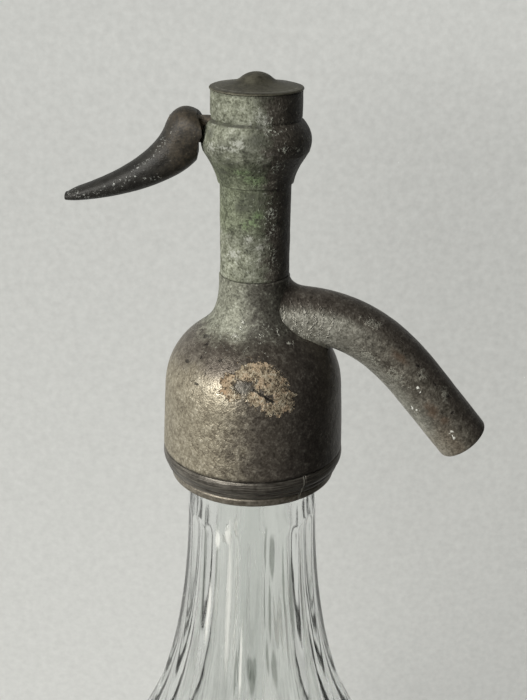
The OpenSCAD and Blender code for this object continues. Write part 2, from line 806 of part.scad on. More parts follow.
module dip_tube() {
    low_z = bottom_t + tube_floor_gap;
    high_z = head_z + tube_top_z;
    color([0.8, 0.86, 0.85, 0.7])
        translate([0, 0, low_z])
            rotate_extrude()
                polygon([[tube_bore_r, 0], [tube_r, 0], [tube_r, high_z - low_z],
                    [tube_bore_r, high_z - low_z]]);
}

bottle();
ring_front_half();
ring_back_half();
neck_gasket();
bell();
spout();
column();
cap();
lever_handle();
lever_arm();
lever_pin();
valve_stem();
crosshead();
lock_nut();
spring_washer();
return_spring();
spring_seat();
packing_ring();
packing_washer();
valve_holder();
valve_rubber();
valve_seat();
tube_holder();
tube_sleeve();
dip_tube();
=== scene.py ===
import json
import math

import bmesh
import bpy
from mathutils import Matrix, Vector, noise


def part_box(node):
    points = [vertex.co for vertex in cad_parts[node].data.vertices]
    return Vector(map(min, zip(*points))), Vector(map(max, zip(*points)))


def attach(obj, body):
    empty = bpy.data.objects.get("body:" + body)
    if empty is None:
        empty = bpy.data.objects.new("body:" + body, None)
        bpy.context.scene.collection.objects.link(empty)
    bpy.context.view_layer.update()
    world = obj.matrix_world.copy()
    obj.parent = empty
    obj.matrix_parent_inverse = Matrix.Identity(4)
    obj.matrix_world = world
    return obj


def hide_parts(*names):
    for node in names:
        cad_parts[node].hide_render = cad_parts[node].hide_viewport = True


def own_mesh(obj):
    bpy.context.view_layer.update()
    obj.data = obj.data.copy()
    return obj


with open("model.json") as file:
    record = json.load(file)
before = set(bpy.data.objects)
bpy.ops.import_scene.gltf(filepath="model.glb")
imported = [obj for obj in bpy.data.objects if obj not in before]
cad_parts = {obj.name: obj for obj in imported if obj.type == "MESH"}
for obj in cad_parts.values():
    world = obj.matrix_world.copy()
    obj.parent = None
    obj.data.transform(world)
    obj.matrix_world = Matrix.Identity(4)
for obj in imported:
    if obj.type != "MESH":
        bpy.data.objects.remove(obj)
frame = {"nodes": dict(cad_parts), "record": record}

# An old soda siphon: a fluted glass bottle under a pewter head, with a thumb lever and a bent spout.
# Outlines are written in millimetres, as distance from the bottle's axis and height over the top edge of the
# split ring.

MM = 0.001
SCENE = bpy.context.scene
SCENE.view_settings.view_transform = "Standard"
NODES = frame["nodes"]
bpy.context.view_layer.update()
RING_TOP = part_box("bell")[0].z


# ---- Camera ----

# Where the photograph was taken from: distance in front of the axis and height over the ring's top edge
CAMERA_DISTANCE = 300.3 * MM
CAMERA_HEIGHT = 156.4 * MM
CAMERA_PITCH = math.radians(22.85)
CAMERA_YAW = math.radians(0.548)
CAMERA_ROLL = math.radians(0.829)
FOCAL_PIXELS = 1100
PHOTO_HEIGHT_PIXELS = 700
NEAREST_SEEN, FARTHEST_SEEN = 10 * MM, 50


def place_camera():
    forward = Vector((math.sin(CAMERA_YAW) * math.cos(CAMERA_PITCH),
                      math.cos(CAMERA_YAW) * math.cos(CAMERA_PITCH), -math.sin(CAMERA_PITCH)))
    level = Vector((math.cos(CAMERA_YAW), -math.sin(CAMERA_YAW), 0))
    upright = level.cross(forward)
    right = math.cos(CAMERA_ROLL) * level + math.sin(CAMERA_ROLL) * upright
    up = math.cos(CAMERA_ROLL) * upright - math.sin(CAMERA_ROLL) * level
    turn = Matrix((right, up, -forward)).transposed().to_4x4()
    place = Matrix.Translation((0, -CAMERA_DISTANCE, RING_TOP + CAMERA_HEIGHT))
    bpy.ops.object.camera_add()
    camera = bpy.context.object
    camera.name = "camera"
    camera.matrix_world = place @ turn
    camera.data.lens = FOCAL_PIXELS / PHOTO_HEIGHT_PIXELS * camera.data.sensor_width
    camera.data.clip_start = NEAREST_SEEN
    camera.data.clip_end = FARTHEST_SEEN
    SCENE.camera = camera


# ---- Shader maths ----

class Value:
    """One output of a shader node. Python's operators on it add Math nodes."""

    def __init__(self, nodes, socket):
        self.nodes = nodes
        self.socket = socket

    def __add__(self, other):
        return self.nodes.math("ADD", self, other)

    def __radd__(self, other):
        return self.nodes.math("ADD", other, self)

    def __sub__(self, other):
        return self.nodes.math("SUBTRACT", self, other)

    def __rsub__(self, other):
        return self.nodes.math("SUBTRACT", other, self)

    def __mul__(self, other):
        return self.nodes.math("MULTIPLY", self, other)

    def __rmul__(self, other):
        return self.nodes.math("MULTIPLY", other, self)

    def __truediv__(self, other):
        return self.nodes.math("DIVIDE", self, other)

    def __rtruediv__(self, other):
        return self.nodes.math("DIVIDE", other, self)

    def __pow__(self, other):
        return self.nodes.math("POWER", self, other)

    def __neg__(self):
        return self.nodes.math("MULTIPLY", self, -1.0)

    def __abs__(self):
        return self.nodes.math("ABSOLUTE", self)

    def clamp(self):
        return self.nodes.math("ADD", self, 0.0, clamp=True)

    def highest(self, other):
        return self.nodes.math("MAXIMUM", self, other)

    def rise(self, low, high, start=0.0, end=1.0):
        """start below low, end above high and smooth between them. With low over high it falls from 1 to 0."""
        if low > high:
            return 1 - self.rise(high, low)
        return self.nodes.node("ShaderNodeMapRange", {"interpolation_type": "SMOOTHSTEP"},
                               {"Value": self, "From Min": low, "From Max": high,
                                "To Min": start, "To Max": end})

    def band(self, centre, half_width, soft):
        """1 within half_width of centre, falling to 0 over soft."""
        return abs(self - centre).rise(half_width + soft, half_width)

    def spot(self, other, centre, radii):
        """How far inside an ellipse a point is: 1 at its centre, 0 on its edge and negative outside."""
        across, up = (self - centre[0]) / radii[0], (other - centre[1]) / radii[1]
        return 1 - (across * across + up * up) ** 0.5

    def nearest_spot(self, other, spots):
        """How far inside the nearest of several ellipses a point is. Each has its centre, then its radii."""
        inside = None
        for *centre, wide, high in spots:
            one = self.spot(other, centre, (wide, high))
            inside = one if inside is None else inside.highest(one)
        return inside


class Nodes:
    """The nodes of a material or of the world, made by type, settings and sockets."""

    def __init__(self, tree, output):
        self.tree = tree
        tree.nodes.clear()
        self.output = tree.nodes.new(output)

    def node(self, kind, settings=None, sockets=None, output=0):
        """Adds any node: its settings are made first, then its sockets get their values or links."""
        made = self.tree.nodes.new(kind)
        for name, setting in (settings or {}).items():
            if name == "stops":
                self.set_stops(made.color_ramp.elements, setting)
            else:
                setattr(made, name, setting)
        for name, value in (sockets or {}).items():
            if isinstance(value, Value):
                self.tree.links.new(value.socket, made.inputs[name])
            else:
                made.inputs[name].default_value = value
        return Value(self, made.outputs[output])

    @staticmethod
    def set_stops(elements, stops):
        while len(elements) < len(stops):
            elements.new(0.5)
        for element, (position, colour) in zip(elements, stops):
            element.position = position
            element.color = (*colour, 1)

    def math(self, operation, *operands, clamp=False):
        return self.node("ShaderNodeMath", {"operation": operation, "use_clamp": clamp},
                         dict(enumerate(operands)))

    def vector(self, operation, *operands, output=0):
        return self.node("ShaderNodeVectorMath", {"operation": operation}, dict(enumerate(operands)), output)

    def glow(self, strength, kind="ShaderNodeEmission"):
        return self.node(kind, {}, {"Color": (*WALL_TINT, 1), "Strength": strength})

    def choose(self, ray, otherwise, chosen):
        """One shader for one kind of ray and another for all the others."""
        return self.node("ShaderNodeMixShader", {},
                         {0: self.node("ShaderNodeLightPath", output=ray), 1: otherwise, 2: chosen})

    def show(self, surface):
        self.tree.links.new(surface.socket, self.output.inputs["Surface"])


class Finish(Nodes):
    """A material under construction, with its Principled shader and the piece's coordinates in millimetres."""

    def __init__(self, name, **constants):
        self.material = bpy.data.materials.new(name)
        self.material.use_nodes = True
        super().__init__(self.material.node_tree, "ShaderNodeOutputMaterial")
        self.shader = self.node("ShaderNodeBsdfPrincipled", {},
                                {key.replace("_", " "): constant for key, constant in constants.items()})
        self.show(self.shader)
        self.colour = None
        coordinates = self.node("ShaderNodeTexCoord", output="Object")
        self.place = self.vector("MULTIPLY_ADD", coordinates, (1000, 1000, 1000), (0, 0, -1000 * RING_TOP))
        self.x, self.y, self.z = (self.node("ShaderNodeSeparateXYZ", {}, {0: self.place}, output=i)
                                  for i in range(3))

    def feed(self, name, value):
        self.tree.links.new(value.socket, self.shader.socket.node.inputs[name])

    def attribute(self, name):
        return self.node("ShaderNodeAttribute", {"attribute_name": name}, output=2)

    def arc(self, radius):
        """Millimetres round the axis from the front, measured on a radius; the spout's side is positive."""
        return self.math("ARCTAN2", self.x, -self.y) * radius

    def sheet(self, across, up=0.0):
        """A place on a flat sheet, for a pattern that is laid out on two values."""
        return self.node("ShaderNodeCombineXYZ", {}, {0: across, 1: up})

    def mix(self, mask, below, above):
        """A number between two numbers."""
        return below + (above - below) * mask

    def noise(self, size, detail=4.0, roughness=0.55, seed=0.0, warp=0.0, place=None):
        """Noise from 0 to 1 whose lumps are about size millimetres wide."""
        return self.node("ShaderNodeTexNoise", {"noise_dimensions": "4D"},
                         {"Vector": place or self.place, "W": seed, "Scale": 1 / size, "Detail": detail,
                          "Roughness": roughness, "Distortion": warp})

    def grains(self, cloud_size, mottle_size, seed, roughness=0.72):
        """The three noises that old metal is made of: wide clouds, its mottled skin and the finest grain."""
        return (self.noise(cloud_size, detail=5, seed=seed + 1),
                self.noise(mottle_size, detail=3, roughness=roughness, seed=seed + 2),
                self.noise(0.66, detail=1.5, roughness=0.6, seed=seed + 3))

    def shade(self, colour, factor):
        """A colour made darker or lighter by a factor."""
        return self.node("ShaderNodeVectorMath", {"operation": "SCALE"}, {0: colour, "Scale": factor})

    def blend(self, mask, below, above):
        """below where the mask is 0 and above where it is 1. Both are colours."""
        sockets = {0: mask}
        for index, colour in ((6, below), (7, above)):
            sockets[index] = colour if isinstance(colour, Value) else (*colour, 1)
        return self.node("ShaderNodeMix", {"data_type": "RGBA"}, sockets, output=2)

    def ramp(self, value, stops):
        return self.node("ShaderNodeValToRGB", {"stops": stops}, {0: value})

    def paint(self, mask, colour):
        """Lays a colour over what is painted so far, where the mask is 1."""
        self.colour = self.blend(mask, self.colour, colour)

    def bump(self, height, depth):
        """A normal from a height map; depth is the real height in millimetres of a step from 0 to 1."""
        return self.node("ShaderNodeBump", {}, {"Height": height, "Distance": depth * MM, "Strength": 1.0})

    def done(self, roughness, height, depth):
        """Feeds the painted colour, the roughness and the relief to the shader."""
        self.feed("Base Color", self.colour)
        self.feed("Roughness", roughness)
        self.feed("Normal", self.bump(height, depth))
        return self.material


# ---- Stage and light ----

WALL = 0.62
WALL_TINT = (1.0, 1.005, 0.955)
FLOOR_TONE = 0.22
FLOOR_RADIUS = 9.0
# Directions in the room: pale walls behind and at the left, dark room in front and at the right
REFLECTED = ((-0.50, 0.87), -0.45, 0.85, 0.035)
REFRACTED = ((-0.20, 0.98), -0.45, 0.35, 0.34)
CEILING_FROM, CEILING_TO, CEILING_TONE = 0.1, 0.8, 0.45
WINDOW_AZIMUTH = math.radians(-43)
WINDOW_RISE = math.radians(24)
WINDOW_DISTANCE = 1.25
WINDOW_AIM = 40 * MM
WINDOW_SIZE = (0.62, 0.8)
WINDOW_POWER = 19.0
WINDOW_COLOUR = (1.0, 0.985, 0.95)
# The wall that the camera sees is painted on the floor's glow. It begins a little behind the object, and its
# marks are laid out as the photographer's camera would see them on an upright wall.
SEEN_WALL = 0.495
SEEN_FAR = 0.575
WALL_START = 100
CAMERA_BACK = 300
MARKS_ASIDE, MARKS_UP, MARKS_NEAR = 1100, 430000, 2.7
PLASTER_SIZE, PLASTER_RELIEF = 7, 0.16
FAR_FROM, FAR_TO, FAR_GAIN = 250, 2600, 0.045
# The object's soft shadow makes the wall a little darker at the right
WALL_SHADE = 0.075
SHADE_ASIDE, SHADE_END, SHADE_START = (-0.06, 0.20), (3500, 700), (-100, 150)


def room_tone(nodes, direction, towards, low, high, dark):
    """How pale the room is in a direction: pale along towards and dark away from it."""
    level = nodes.vector("NORMALIZE", nodes.vector("MULTIPLY", direction, (1, 1, 0)))
    return nodes.vector("DOT_PRODUCT", level, (*towards, 0), output="Value").rise(low, high, dark, WALL)


def make_floor():
    bpy.ops.mesh.primitive_circle_add(vertices=96, radius=FLOOR_RADIUS, fill_type="NGON")
    floor = bpy.context.object
    floor.name = "floor"
    f = Finish("pale_floor", Roughness=0.9, Specular_IOR_Level=0.0,
               Base_Color=(*(FLOOR_TONE * tint for tint in WALL_TINT), 1))
    position = f.node("ShaderNodeNewGeometry")
    behind = f.y.highest(WALL_START)
    depth = behind + CAMERA_BACK
    aside = f.x / depth
    shaded = aside.rise(*SHADE_ASIDE) * f.y.rise(*SHADE_END) * f.y.rise(*SHADE_START)
    marks = f.sheet(aside * MARKS_ASIDE, MARKS_UP / depth - (f.y - behind) * MARKS_NEAR)
    plaster = f.noise(PLASTER_SIZE, detail=2, roughness=0.6, seed=61.0, place=marks) - 0.5
    far = f.y.rise(FAR_FROM, FAR_TO)
    seen = f.glow(SEEN_WALL - WALL_SHADE * shaded + PLASTER_RELIEF * plaster + FAR_GAIN * far)
    both = f.node("ShaderNodeAddShader", {}, {0: f.shader, 1: seen})
    surface = f.choose("Is Camera Ray", f.shader, both)
    surface = f.choose("Is Glossy Ray", surface, f.glow(room_tone(f, position, *REFLECTED)))
    f.show(f.choose("Is Transmission Ray", surface, f.glow(room_tone(f, position, *REFRACTED))))
    floor.data.materials.append(f.material)


def light_room():
    SCENE.world = bpy.data.worlds.new("room")
    SCENE.world.use_nodes = True
    room = Nodes(SCENE.world.node_tree, "ShaderNodeOutputWorld")
    air = "ShaderNodeBackground"
    direction = room.node("ShaderNodeTexCoord")
    height = room.node("ShaderNodeSeparateXYZ", {}, {0: direction}, output=2)
    dimmed = height.rise(CEILING_FROM, CEILING_TO, 1.0, CEILING_TONE)
    surface = room.glow(room_tone(room, direction, *REFLECTED) * dimmed, air)
    surface = room.choose("Is Transmission Ray", surface,
                          room.glow(room_tone(room, direction, *REFRACTED), air))
    room.show(room.choose("Is Camera Ray", surface, room.glow(SEEN_FAR, air)))

    towards = Vector((math.sin(WINDOW_AZIMUTH) * math.cos(WINDOW_RISE),
                      -math.cos(WINDOW_AZIMUTH) * math.cos(WINDOW_RISE), math.sin(WINDOW_RISE)))
    aim = Vector((0, 0, RING_TOP + WINDOW_AIM))
    bpy.ops.object.light_add(type="AREA", location=aim + WINDOW_DISTANCE * towards)
    window = bpy.context.object
    window.name = "window"
    window.rotation_mode = "QUATERNION"
    window.rotation_quaternion = towards.to_track_quat("Z", "Y")
    window.data.shape = "RECTANGLE"
    window.data.size, window.data.size_y = WINDOW_SIZE
    window.data.energy = WINDOW_POWER
    window.data.color = WINDOW_COLOUR


# ---- Modelling ----

# How strong and how fine each layer of the knocks in an old skin is, and how far they take it back on the whole
KNOCKS = ((1.0, 1.0), (0.5, 2.3), (0.25, 5.1))
TAKEN_BACK = 0.6


def on_head(x, y, z):
    """A point in metres, from millimetres with the height counted from the ring's top edge."""
    return Vector((x * MM, y * MM, RING_TOP + z * MM))


def deselect():
    if bpy.context.object and bpy.context.object.mode != "OBJECT":
        bpy.ops.object.mode_set(mode="OBJECT")
    bpy.ops.object.select_all(action="DESELECT")


def settle(piece, name, sharp=32):
    """Names a finished piece, brings its place into its mesh and shades it smooth up to the sharp angle."""
    deselect()
    piece.name = piece.data.name = name
    piece.select_set(True)
    bpy.context.view_layer.objects.active = piece
    bpy.ops.object.transform_apply(location=True, rotation=True, scale=True)
    bpy.ops.object.shade_smooth_by_angle(angle=math.radians(sharp))
    return piece


def apply_modifier(piece, kind, **settings):
    bpy.context.view_layer.objects.active = piece
    modifier = piece.modifiers.new(kind.lower(), kind)
    for key, value in settings.items():
        setattr(modifier, key, value)
    bpy.ops.object.modifier_apply(modifier=modifier.name)


def break_edges(piece, width, segments, above_angle):
    """Bevels the edges that are sharper than an angle."""
    apply_modifier(piece, "BEVEL", width=width * MM, segments=segments, limit_method="ANGLE",
                   angle_limit=math.radians(above_angle))


def curve(a, b, c, d, n):
    """Points on a Bezier curve from a to d, a left out."""
    def at(t):
        u = 1 - t
        return tuple(u * u * u * p + 3 * u * u * t * q + 3 * u * t * t * r + t * t * t * s
                     for p, q, r, s in zip(a, b, c, d))
    return [at(i / n) for i in range(1, n + 1)]


def rounded(centre, radii, first, last, step):
    """Points on an ellipse from one angle to another, in degrees over level."""
    turns = [math.radians(degrees) for degrees in range(first, last + step, step)]
    return [(centre[0] + radii[0] * math.cos(turn), centre[1] + radii[1] * math.sin(turn)) for turn in turns]


def dense(outline, step=0.8):
    """The same outline with its long stretches cut into steps."""
    points = [outline[0]]
    for start, end in zip(outline, outline[1:]):
        count = max(1, math.ceil(math.dist(start, end) / step))
        points += [tuple(a + (b - a) * i / count for a, b in zip(start, end)) for i in range(1, count + 1)]
    return points


def weather(piece, depth, size, outside_of=0.0, seed=0.0):
    """Moves the skin in and out by up to depth millimetres, in lumps of a size, as age and knocks do."""
    mesh = piece.data
    whole = sum(share for share, _ in KNOCKS)
    moved = []
    for vertex in mesh.vertices:
        place = vertex.co * 1000
        push = 0.0
        if math.hypot(place.x, place.y) > outside_of:
            at = place / size + Vector((seed, seed, seed))
            push = depth * sum(share * noise.noise(at * pace) for share, pace in KNOCKS) / whole
        moved.append(vertex.co + vertex.normal * (push - TAKEN_BACK * depth) * MM)
    for vertex, co in zip(mesh.vertices, moved):
        vertex.co = co
    mesh.update()


def note(piece, name, values):
    """Stores a number at every point of a mesh for its finish to read."""
    stored = piece.data.attributes.new(name, "FLOAT", "POINT")
    stored.data.foreach_set("value", values)


def turned(name, outline, steps=160, first_angle=0.0, angle=math.tau):
    """A piece turned on a lathe: its closed half outline is drawn point by point and spun round the axis."""
    points = [on_head(r, 0, z) for r, z in outline]
    deselect()
    bpy.ops.mesh.primitive_plane_add(size=MM, location=points[0])
    piece = bpy.context.object
    bpy.ops.object.mode_set(mode="EDIT")
    bpy.ops.mesh.select_all(action="SELECT")
    bpy.ops.mesh.merge(type="CENTER")
    for start, end in zip(points, points[1:]):
        bpy.ops.mesh.extrude_vertices_move(TRANSFORM_OT_translate={"value": end - start})
    bpy.ops.mesh.select_all(action="SELECT")
    bpy.ops.mesh.edge_face_add()
    if angle < math.tau:
        bpy.ops.transform.rotate(value=-first_angle, orient_axis="Z", center_override=(0, 0, 0))
    else:
        bpy.ops.mesh.delete(type="ONLY_FACE")
    bpy.ops.mesh.select_all(action="SELECT")
    bpy.ops.mesh.spin(steps=steps, angle=angle, center=(0, 0, 0), axis=(0, 0, 1))
    bpy.ops.mesh.select_all(action="SELECT")
    bpy.ops.mesh.remove_doubles(threshold=MM / 500)
    bpy.ops.mesh.normals_make_consistent(inside=False)
    bpy.ops.object.mode_set(mode="OBJECT")
    return settle(piece, name)


def skinned(name, rings, sharp=40):
    """A skin over rings of points, with its first and last rings filled."""
    mesh = bpy.data.meshes.new(name)
    form = bmesh.new()
    made = [[form.verts.new(p) for p in ring] for ring in rings]
    count = len(rings[0])
    for below, above in zip(made, made[1:]):
        for i in range(count):
            j = (i + 1) % count
            form.faces.new((below[i], below[j], above[j], above[i]))
    form.faces.new(made[0][::-1])
    form.faces.new(made[-1])
    bmesh.ops.recalc_face_normals(form, faces=form.faces)
    form.to_mesh(mesh)
    form.free()
    piece = bpy.data.objects.new(name, mesh)
    SCENE.collection.objects.link(piece)
    return settle(piece, name, sharp)


def cut(piece, cutter):
    apply_modifier(piece, "BOOLEAN", object=cutter, operation="DIFFERENCE", solver="EXACT")
    bpy.data.objects.remove(cutter)


def rod(start, end, radius, sides=64):
    """A round rod between two points, for cutting holes."""
    line = end - start
    deselect()
    bpy.ops.mesh.primitive_cylinder_add(vertices=sides, radius=radius, depth=line.length,
                                        location=start + line / 2)
    made = bpy.context.object
    made.rotation_mode = "QUATERNION"
    made.rotation_quaternion = line.to_track_quat("Z", "Y")
    bpy.context.view_layer.update()
    return made


def block(low, high):
    """A box between two corners, for cutting slots."""
    deselect()
    bpy.ops.mesh.primitive_cube_add(size=1, location=(low + high) / 2)
    made = bpy.context.object
    made.scale = high - low
    bpy.context.view_layer.update()
    return made


def softened(node, width, name):
    """A copy of a rigid node with its sharp edges broken, as wear leaves them."""
    piece = bpy.data.objects.new(name, NODES[node].data.copy())
    SCENE.collection.objects.link(piece)
    deselect()
    piece.select_set(True)
    bpy.context.view_layer.objects.active = piece
    bpy.ops.object.mode_set(mode="EDIT")
    bpy.ops.mesh.select_all(action="SELECT")
    bpy.ops.mesh.remove_doubles(threshold=MM / 1000)
    bpy.ops.mesh.customdata_custom_splitnormals_clear()
    bpy.ops.mesh.dissolve_limited(angle_limit=math.radians(0.5))
    bpy.ops.object.mode_set(mode="OBJECT")
    break_edges(piece, width, 2, 40)
    settle(piece, name)
    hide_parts(node)
    return piece


# ---- Bottle ----

FLUTES = 16
FLUTE_RATIO = 0.034
FLUTE_TOP = -20.0
NECK_ARCH = 5.0
BODY_ARCH = 12.0
NECK_R = 20.0
BODY_R = 54.0
BASE_R = 46.0
GLASS_WALL = 5.0
MOUTH_R = 11.5
LIP_TOP, LIP_FOOT, LIP_R, LIP_ROUND = 18.0, 6.0, 22.6, 3.0
COLLAR_R = 19.1
HEEL_H, BOTTOM_T, INNER_HEEL = 10.0, 9.0, 10.0
FLOOR_Z = -1000 * RING_TOP
FLUTE_FOOT = FLOOR_Z + 11
SHOULDER_FOOT = -170.0
SHOULDER_PULL = 60.0
NECK_PULL = 92.0
PER_FLUTE = 16
# Blown glass is never even: its inside wanders in long waves, and its skin a little less. The waves fade in
# over a stretch below two heights.
WAVES_ROUND, WAVE_LENGTH = 1.6, 60
SKIN_WAVE, INSIDE_WAVE, INSIDE_LOW = 0.10, 0.45, 0.3
SKIN_WAVE_FROM, INSIDE_WAVE_FROM, WAVE_FADE = -16, 10, 20


def shoulder(low_r, high_r, high_z, n):
    """The bottle's long shoulder, from the full body up to the neck, drawn as in the part's own outline."""
    down = curve((high_r, high_z), (high_r + 0.03 * NECK_PULL, high_z - NECK_PULL),
                 (low_r, SHOULDER_FOOT + SHOULDER_PULL), (low_r, SHOULDER_FOOT), n)
    return [(low_r, SHOULDER_FOOT)] + down[::-1][1:] + [(high_r, high_z)]


def flute_depth(r, z, u):
    """How deep the glass is hollowed at a height, u running from -1 to 1 across one flute."""
    w = max(0.0, (z - (FLUTE_TOP - NECK_ARCH)) / NECK_ARCH, (FLUTE_FOOT + BODY_ARCH - z) / BODY_ARCH)
    arch = max(0.0, 1 - u * u - w * w)
    return FLUTE_RATIO * r * arch ** 1.5


def glass_outside():
    """The bottle's outside along a crest between two flutes, from the base up to the lip's top."""
    side = [(BASE_R - 6, FLOOR_Z), (BASE_R - 1, FLOOR_Z)]
    side += rounded((BASE_R, FLOOR_Z + HEEL_H), (BODY_R - BASE_R, HEEL_H), -90, 0, 9)
    arch_top = FLUTE_FOOT + BODY_ARCH
    side += [(BODY_R, FLUTE_FOOT + BODY_ARCH * i / 16) for i in range(1, 17)]
    side += [(BODY_R, arch_top + (SHOULDER_FOOT - arch_top) * i / 8) for i in range(1, 8)]
    side += shoulder(BODY_R, NECK_R, FLUTE_TOP - NECK_ARCH, 80)
    side += [(NECK_R, FLUTE_TOP - NECK_ARCH + NECK_ARCH * i / 20) for i in range(1, 21)]
    side += curve((NECK_R, FLUTE_TOP), (NECK_R, -16), (COLLAR_R, -14), (COLLAR_R, -9.2), 6)
    lip_in = LIP_R - LIP_ROUND
    side += [(COLLAR_R, LIP_FOOT - 0.5), (COLLAR_R + 0.5, LIP_FOOT), (lip_in, LIP_FOOT)]
    side += rounded((lip_in, LIP_FOOT + LIP_ROUND), (LIP_ROUND, LIP_ROUND), -75, 0, 15)
    return side + rounded((lip_in, LIP_TOP - LIP_ROUND), (LIP_ROUND, LIP_ROUND), 0, 90, 15)


def glass_inside():
    """The bottle's inside, from its mouth down to its floor."""
    inner_r = BODY_R - GLASS_WALL
    side = [(MOUTH_R + 0.8, LIP_TOP), (MOUTH_R + 0.2, LIP_TOP - 0.5), (MOUTH_R, LIP_TOP - 1.4)]
    side += [(MOUTH_R, z) for z in (6, -6, -20)]
    side += shoulder(inner_r, MOUTH_R, -28, 60)[::-1]
    side += [(inner_r, SHOULDER_FOOT - i * 5) for i in range(1, 8)]
    heel = (inner_r - INNER_HEEL, FLOOR_Z + BOTTOM_T + INNER_HEEL)
    return side + rounded(heel, (INNER_HEEL, INNER_HEEL), 0, -90, -9)


def make_bottle():
    outside, inside = glass_outside(), glass_inside()
    count = FLUTES * PER_FLUTE
    rings = []
    for k, (r, z) in enumerate(outside + inside):
        ring = []
        for i in range(count):
            turn = math.tau * i / count - math.pi / 2
            place = (WAVES_ROUND * math.cos(turn), WAVES_ROUND * math.sin(turn), z / WAVE_LENGTH)
            wave = noise.noise(Vector(place))
            if k < len(outside):
                across = 2 * (i % PER_FLUTE) / PER_FLUTE - 1
                below_ring = min(1.0, max(0.0, (SKIN_WAVE_FROM - z) / WAVE_FADE))
                depth = flute_depth(r, z, across) + SKIN_WAVE * below_ring * (wave + 1)
            else:
                below_lip = min(1.0, max(0.0, (INSIDE_WAVE_FROM - z) / WAVE_FADE))
                depth = (INSIDE_WAVE * wave - INSIDE_LOW) * below_lip * min(r, WAVE_FADE) / WAVE_FADE
            ring.append(on_head((r - depth) * math.cos(turn), (r - depth) * math.sin(turn), z))
        rings.append(ring)
    piece = skinned("fluted_bottle", rings, sharp=60)
    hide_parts("bottle")
    return piece


# ---- Head ----

BELL_R = 27.1
BELL_TOP = 54.0
SPOUT_R = 8.13
SPOUT_BORE = 5.0
SPOUT_AXIS_Z = 43.4
SPOUT_FALL = math.radians(7)
ROOT_LEN = 15.8
BENDS = ((43.0, math.radians(33.4)), (77.0, math.radians(10.9)))
SPOUT_END = 25.6
SPANNER_TURN = math.radians(137)
SPANNER_HOLE = (6.4 * math.cos(SPANNER_TURN), 6.4 * math.sin(SPANNER_TURN))
SPANNER_HOLE_R, COUNTERSINK = 0.8, 2.6
WEB_TOP = 81.5
PIVOT_Z = 95.0
PIVOT_X = -13.2
PIN_HOLE_R, PIN_HOLE_REACH = 1.3, 20
# The slot in the bulb for the lever's tongue, from corner to corner
TONGUE_SLOT = ((-17, -2.8, 89.8), (-6.9, 2.8, 99.8))
RIM_R = 12.7
BULB_R = 15.4
SPLIT = math.radians(33.7)
SPLIT_HALF_GAP, SPLIT_R = 0.15, 26
VALVE_LIFT = 3.3
LIFT_ANGLE = math.asin(VALVE_LIFT / -PIVOT_X)
COLUMN_TOP = 106.3


def bell_side():
    """The bell's outside, from its bottom edge up to the seam under the column."""
    side = [(BELL_R - 0.5, 0.0), (BELL_R - 0.15, 0.12), (BELL_R, 0.45)]
    side += [(BELL_R - 0.7 * (z / 18) ** 1.4, z) for z in (2, 5, 8, 11, 14, 16)]
    side += [(26.4, 18)] + curve((26.4, 18), (26.4, 28), (21.8, 33.6), (17, 37), 28)
    side += curve((17, 37), (13.4, 39.6), (10.5, 42.2), (10.3, 51), 24)
    side += [(10.3, BELL_TOP - 0.4), (10.0, BELL_TOP)]
    return side


BELL_SIDE = bell_side()


def make_bell():
    inside = [(8.55, BELL_TOP), (8.55, 50), (7.55, 50), (7.55, 47.5), (6, 47.5), (6, 33.5), (7.05, 33.5),
              (7.05, 30), (8.45, 30), (8.45, 20.5), (24.5, 20.5), (24.5, 0), (BELL_R - 0.5, 0.0)]
    piece = turned("pewter_bell", dense(BELL_SIDE) + inside, steps=224)
    weather(piece, 0.10, 9, outside_of=9.5, seed=3)
    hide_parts("bell")
    return piece


def surface_radius(z):
    """The bell's radius at a height."""
    for (r0, z0), (r1, z1) in zip(BELL_SIDE, BELL_SIDE[1:]):
        if z0 <= z <= z1 and z1 > z0:
            return r0 + (r1 - r0) * (z - z0) / (z1 - z0)
    return BELL_SIDE[-1][0] if z > BELL_SIDE[-1][1] else BELL_SIDE[0][0]


def onward(heading):
    """The spout's direction, out and up, where it heads at an angle."""
    return Vector((math.cos(heading), math.sin(heading)))


def spout_stations():
    """Points down the spout's middle, with the direction at each: root, two bends and straight end."""
    place = Vector((0, SPOUT_AXIS_Z))
    heading = -SPOUT_FALL
    stations = [(place + onward(heading) * (ROOT_LEN * i / 8), heading) for i in range(9)]
    place = place + onward(heading) * ROOT_LEN
    for radius, angle in BENDS:
        count = 20 if angle > 0.3 else 8
        step = angle / count
        for _ in range(count):
            place = place + onward(heading - step / 2) * 2 * radius * math.sin(step / 2)
            heading -= step
            stations.append((place, heading))
    return stations + [(place + onward(heading) * (SPOUT_END * i / 8), heading) for i in range(1, 9)]


SPOUT_LINE = spout_stations()


def tube_point(station, radius, around):
    """A point on the spout: around runs from the top (0) over the front."""
    (x, z), heading = station
    up = Vector((-math.sin(heading), 0, math.cos(heading)))
    front = Vector((0, -1, 0))
    return Vector((x, 0, z)) + radius * (math.cos(around) * up + math.sin(around) * front)


def along_spout(point):
    """Millimetres along the spout's middle line and up from it, for the line's nearest place to a point."""
    at = Vector((point.x, point.z - RING_TOP)) * 1000
    gone, best = 0.0, (1e9, 0.0, 0.0)
    for (start, _), (end, heading) in zip(SPOUT_LINE, SPOUT_LINE[1:]):
        step = end - start
        part = min(1.0, max(0.0, (at - start).dot(step) / step.length_squared))
        off = at - start - step * part
        up = off.dot(Vector((-math.sin(heading), math.cos(heading))))
        best = min(best, (off.length, gone + part * step.length, up))
        gone += step.length
    return best[1:]


SPOUT_SIDES = 72
# The solder's fillet round the spout's root, wider on top, and how far the search for the bell's skin goes
FILLET, FILLET_TOP = 2.6, 2.6
ROOT_SEARCH, SEARCH_STEP = 26, 0.02
# Where the bore ends inside the bell
BORE_END_X = 11.5


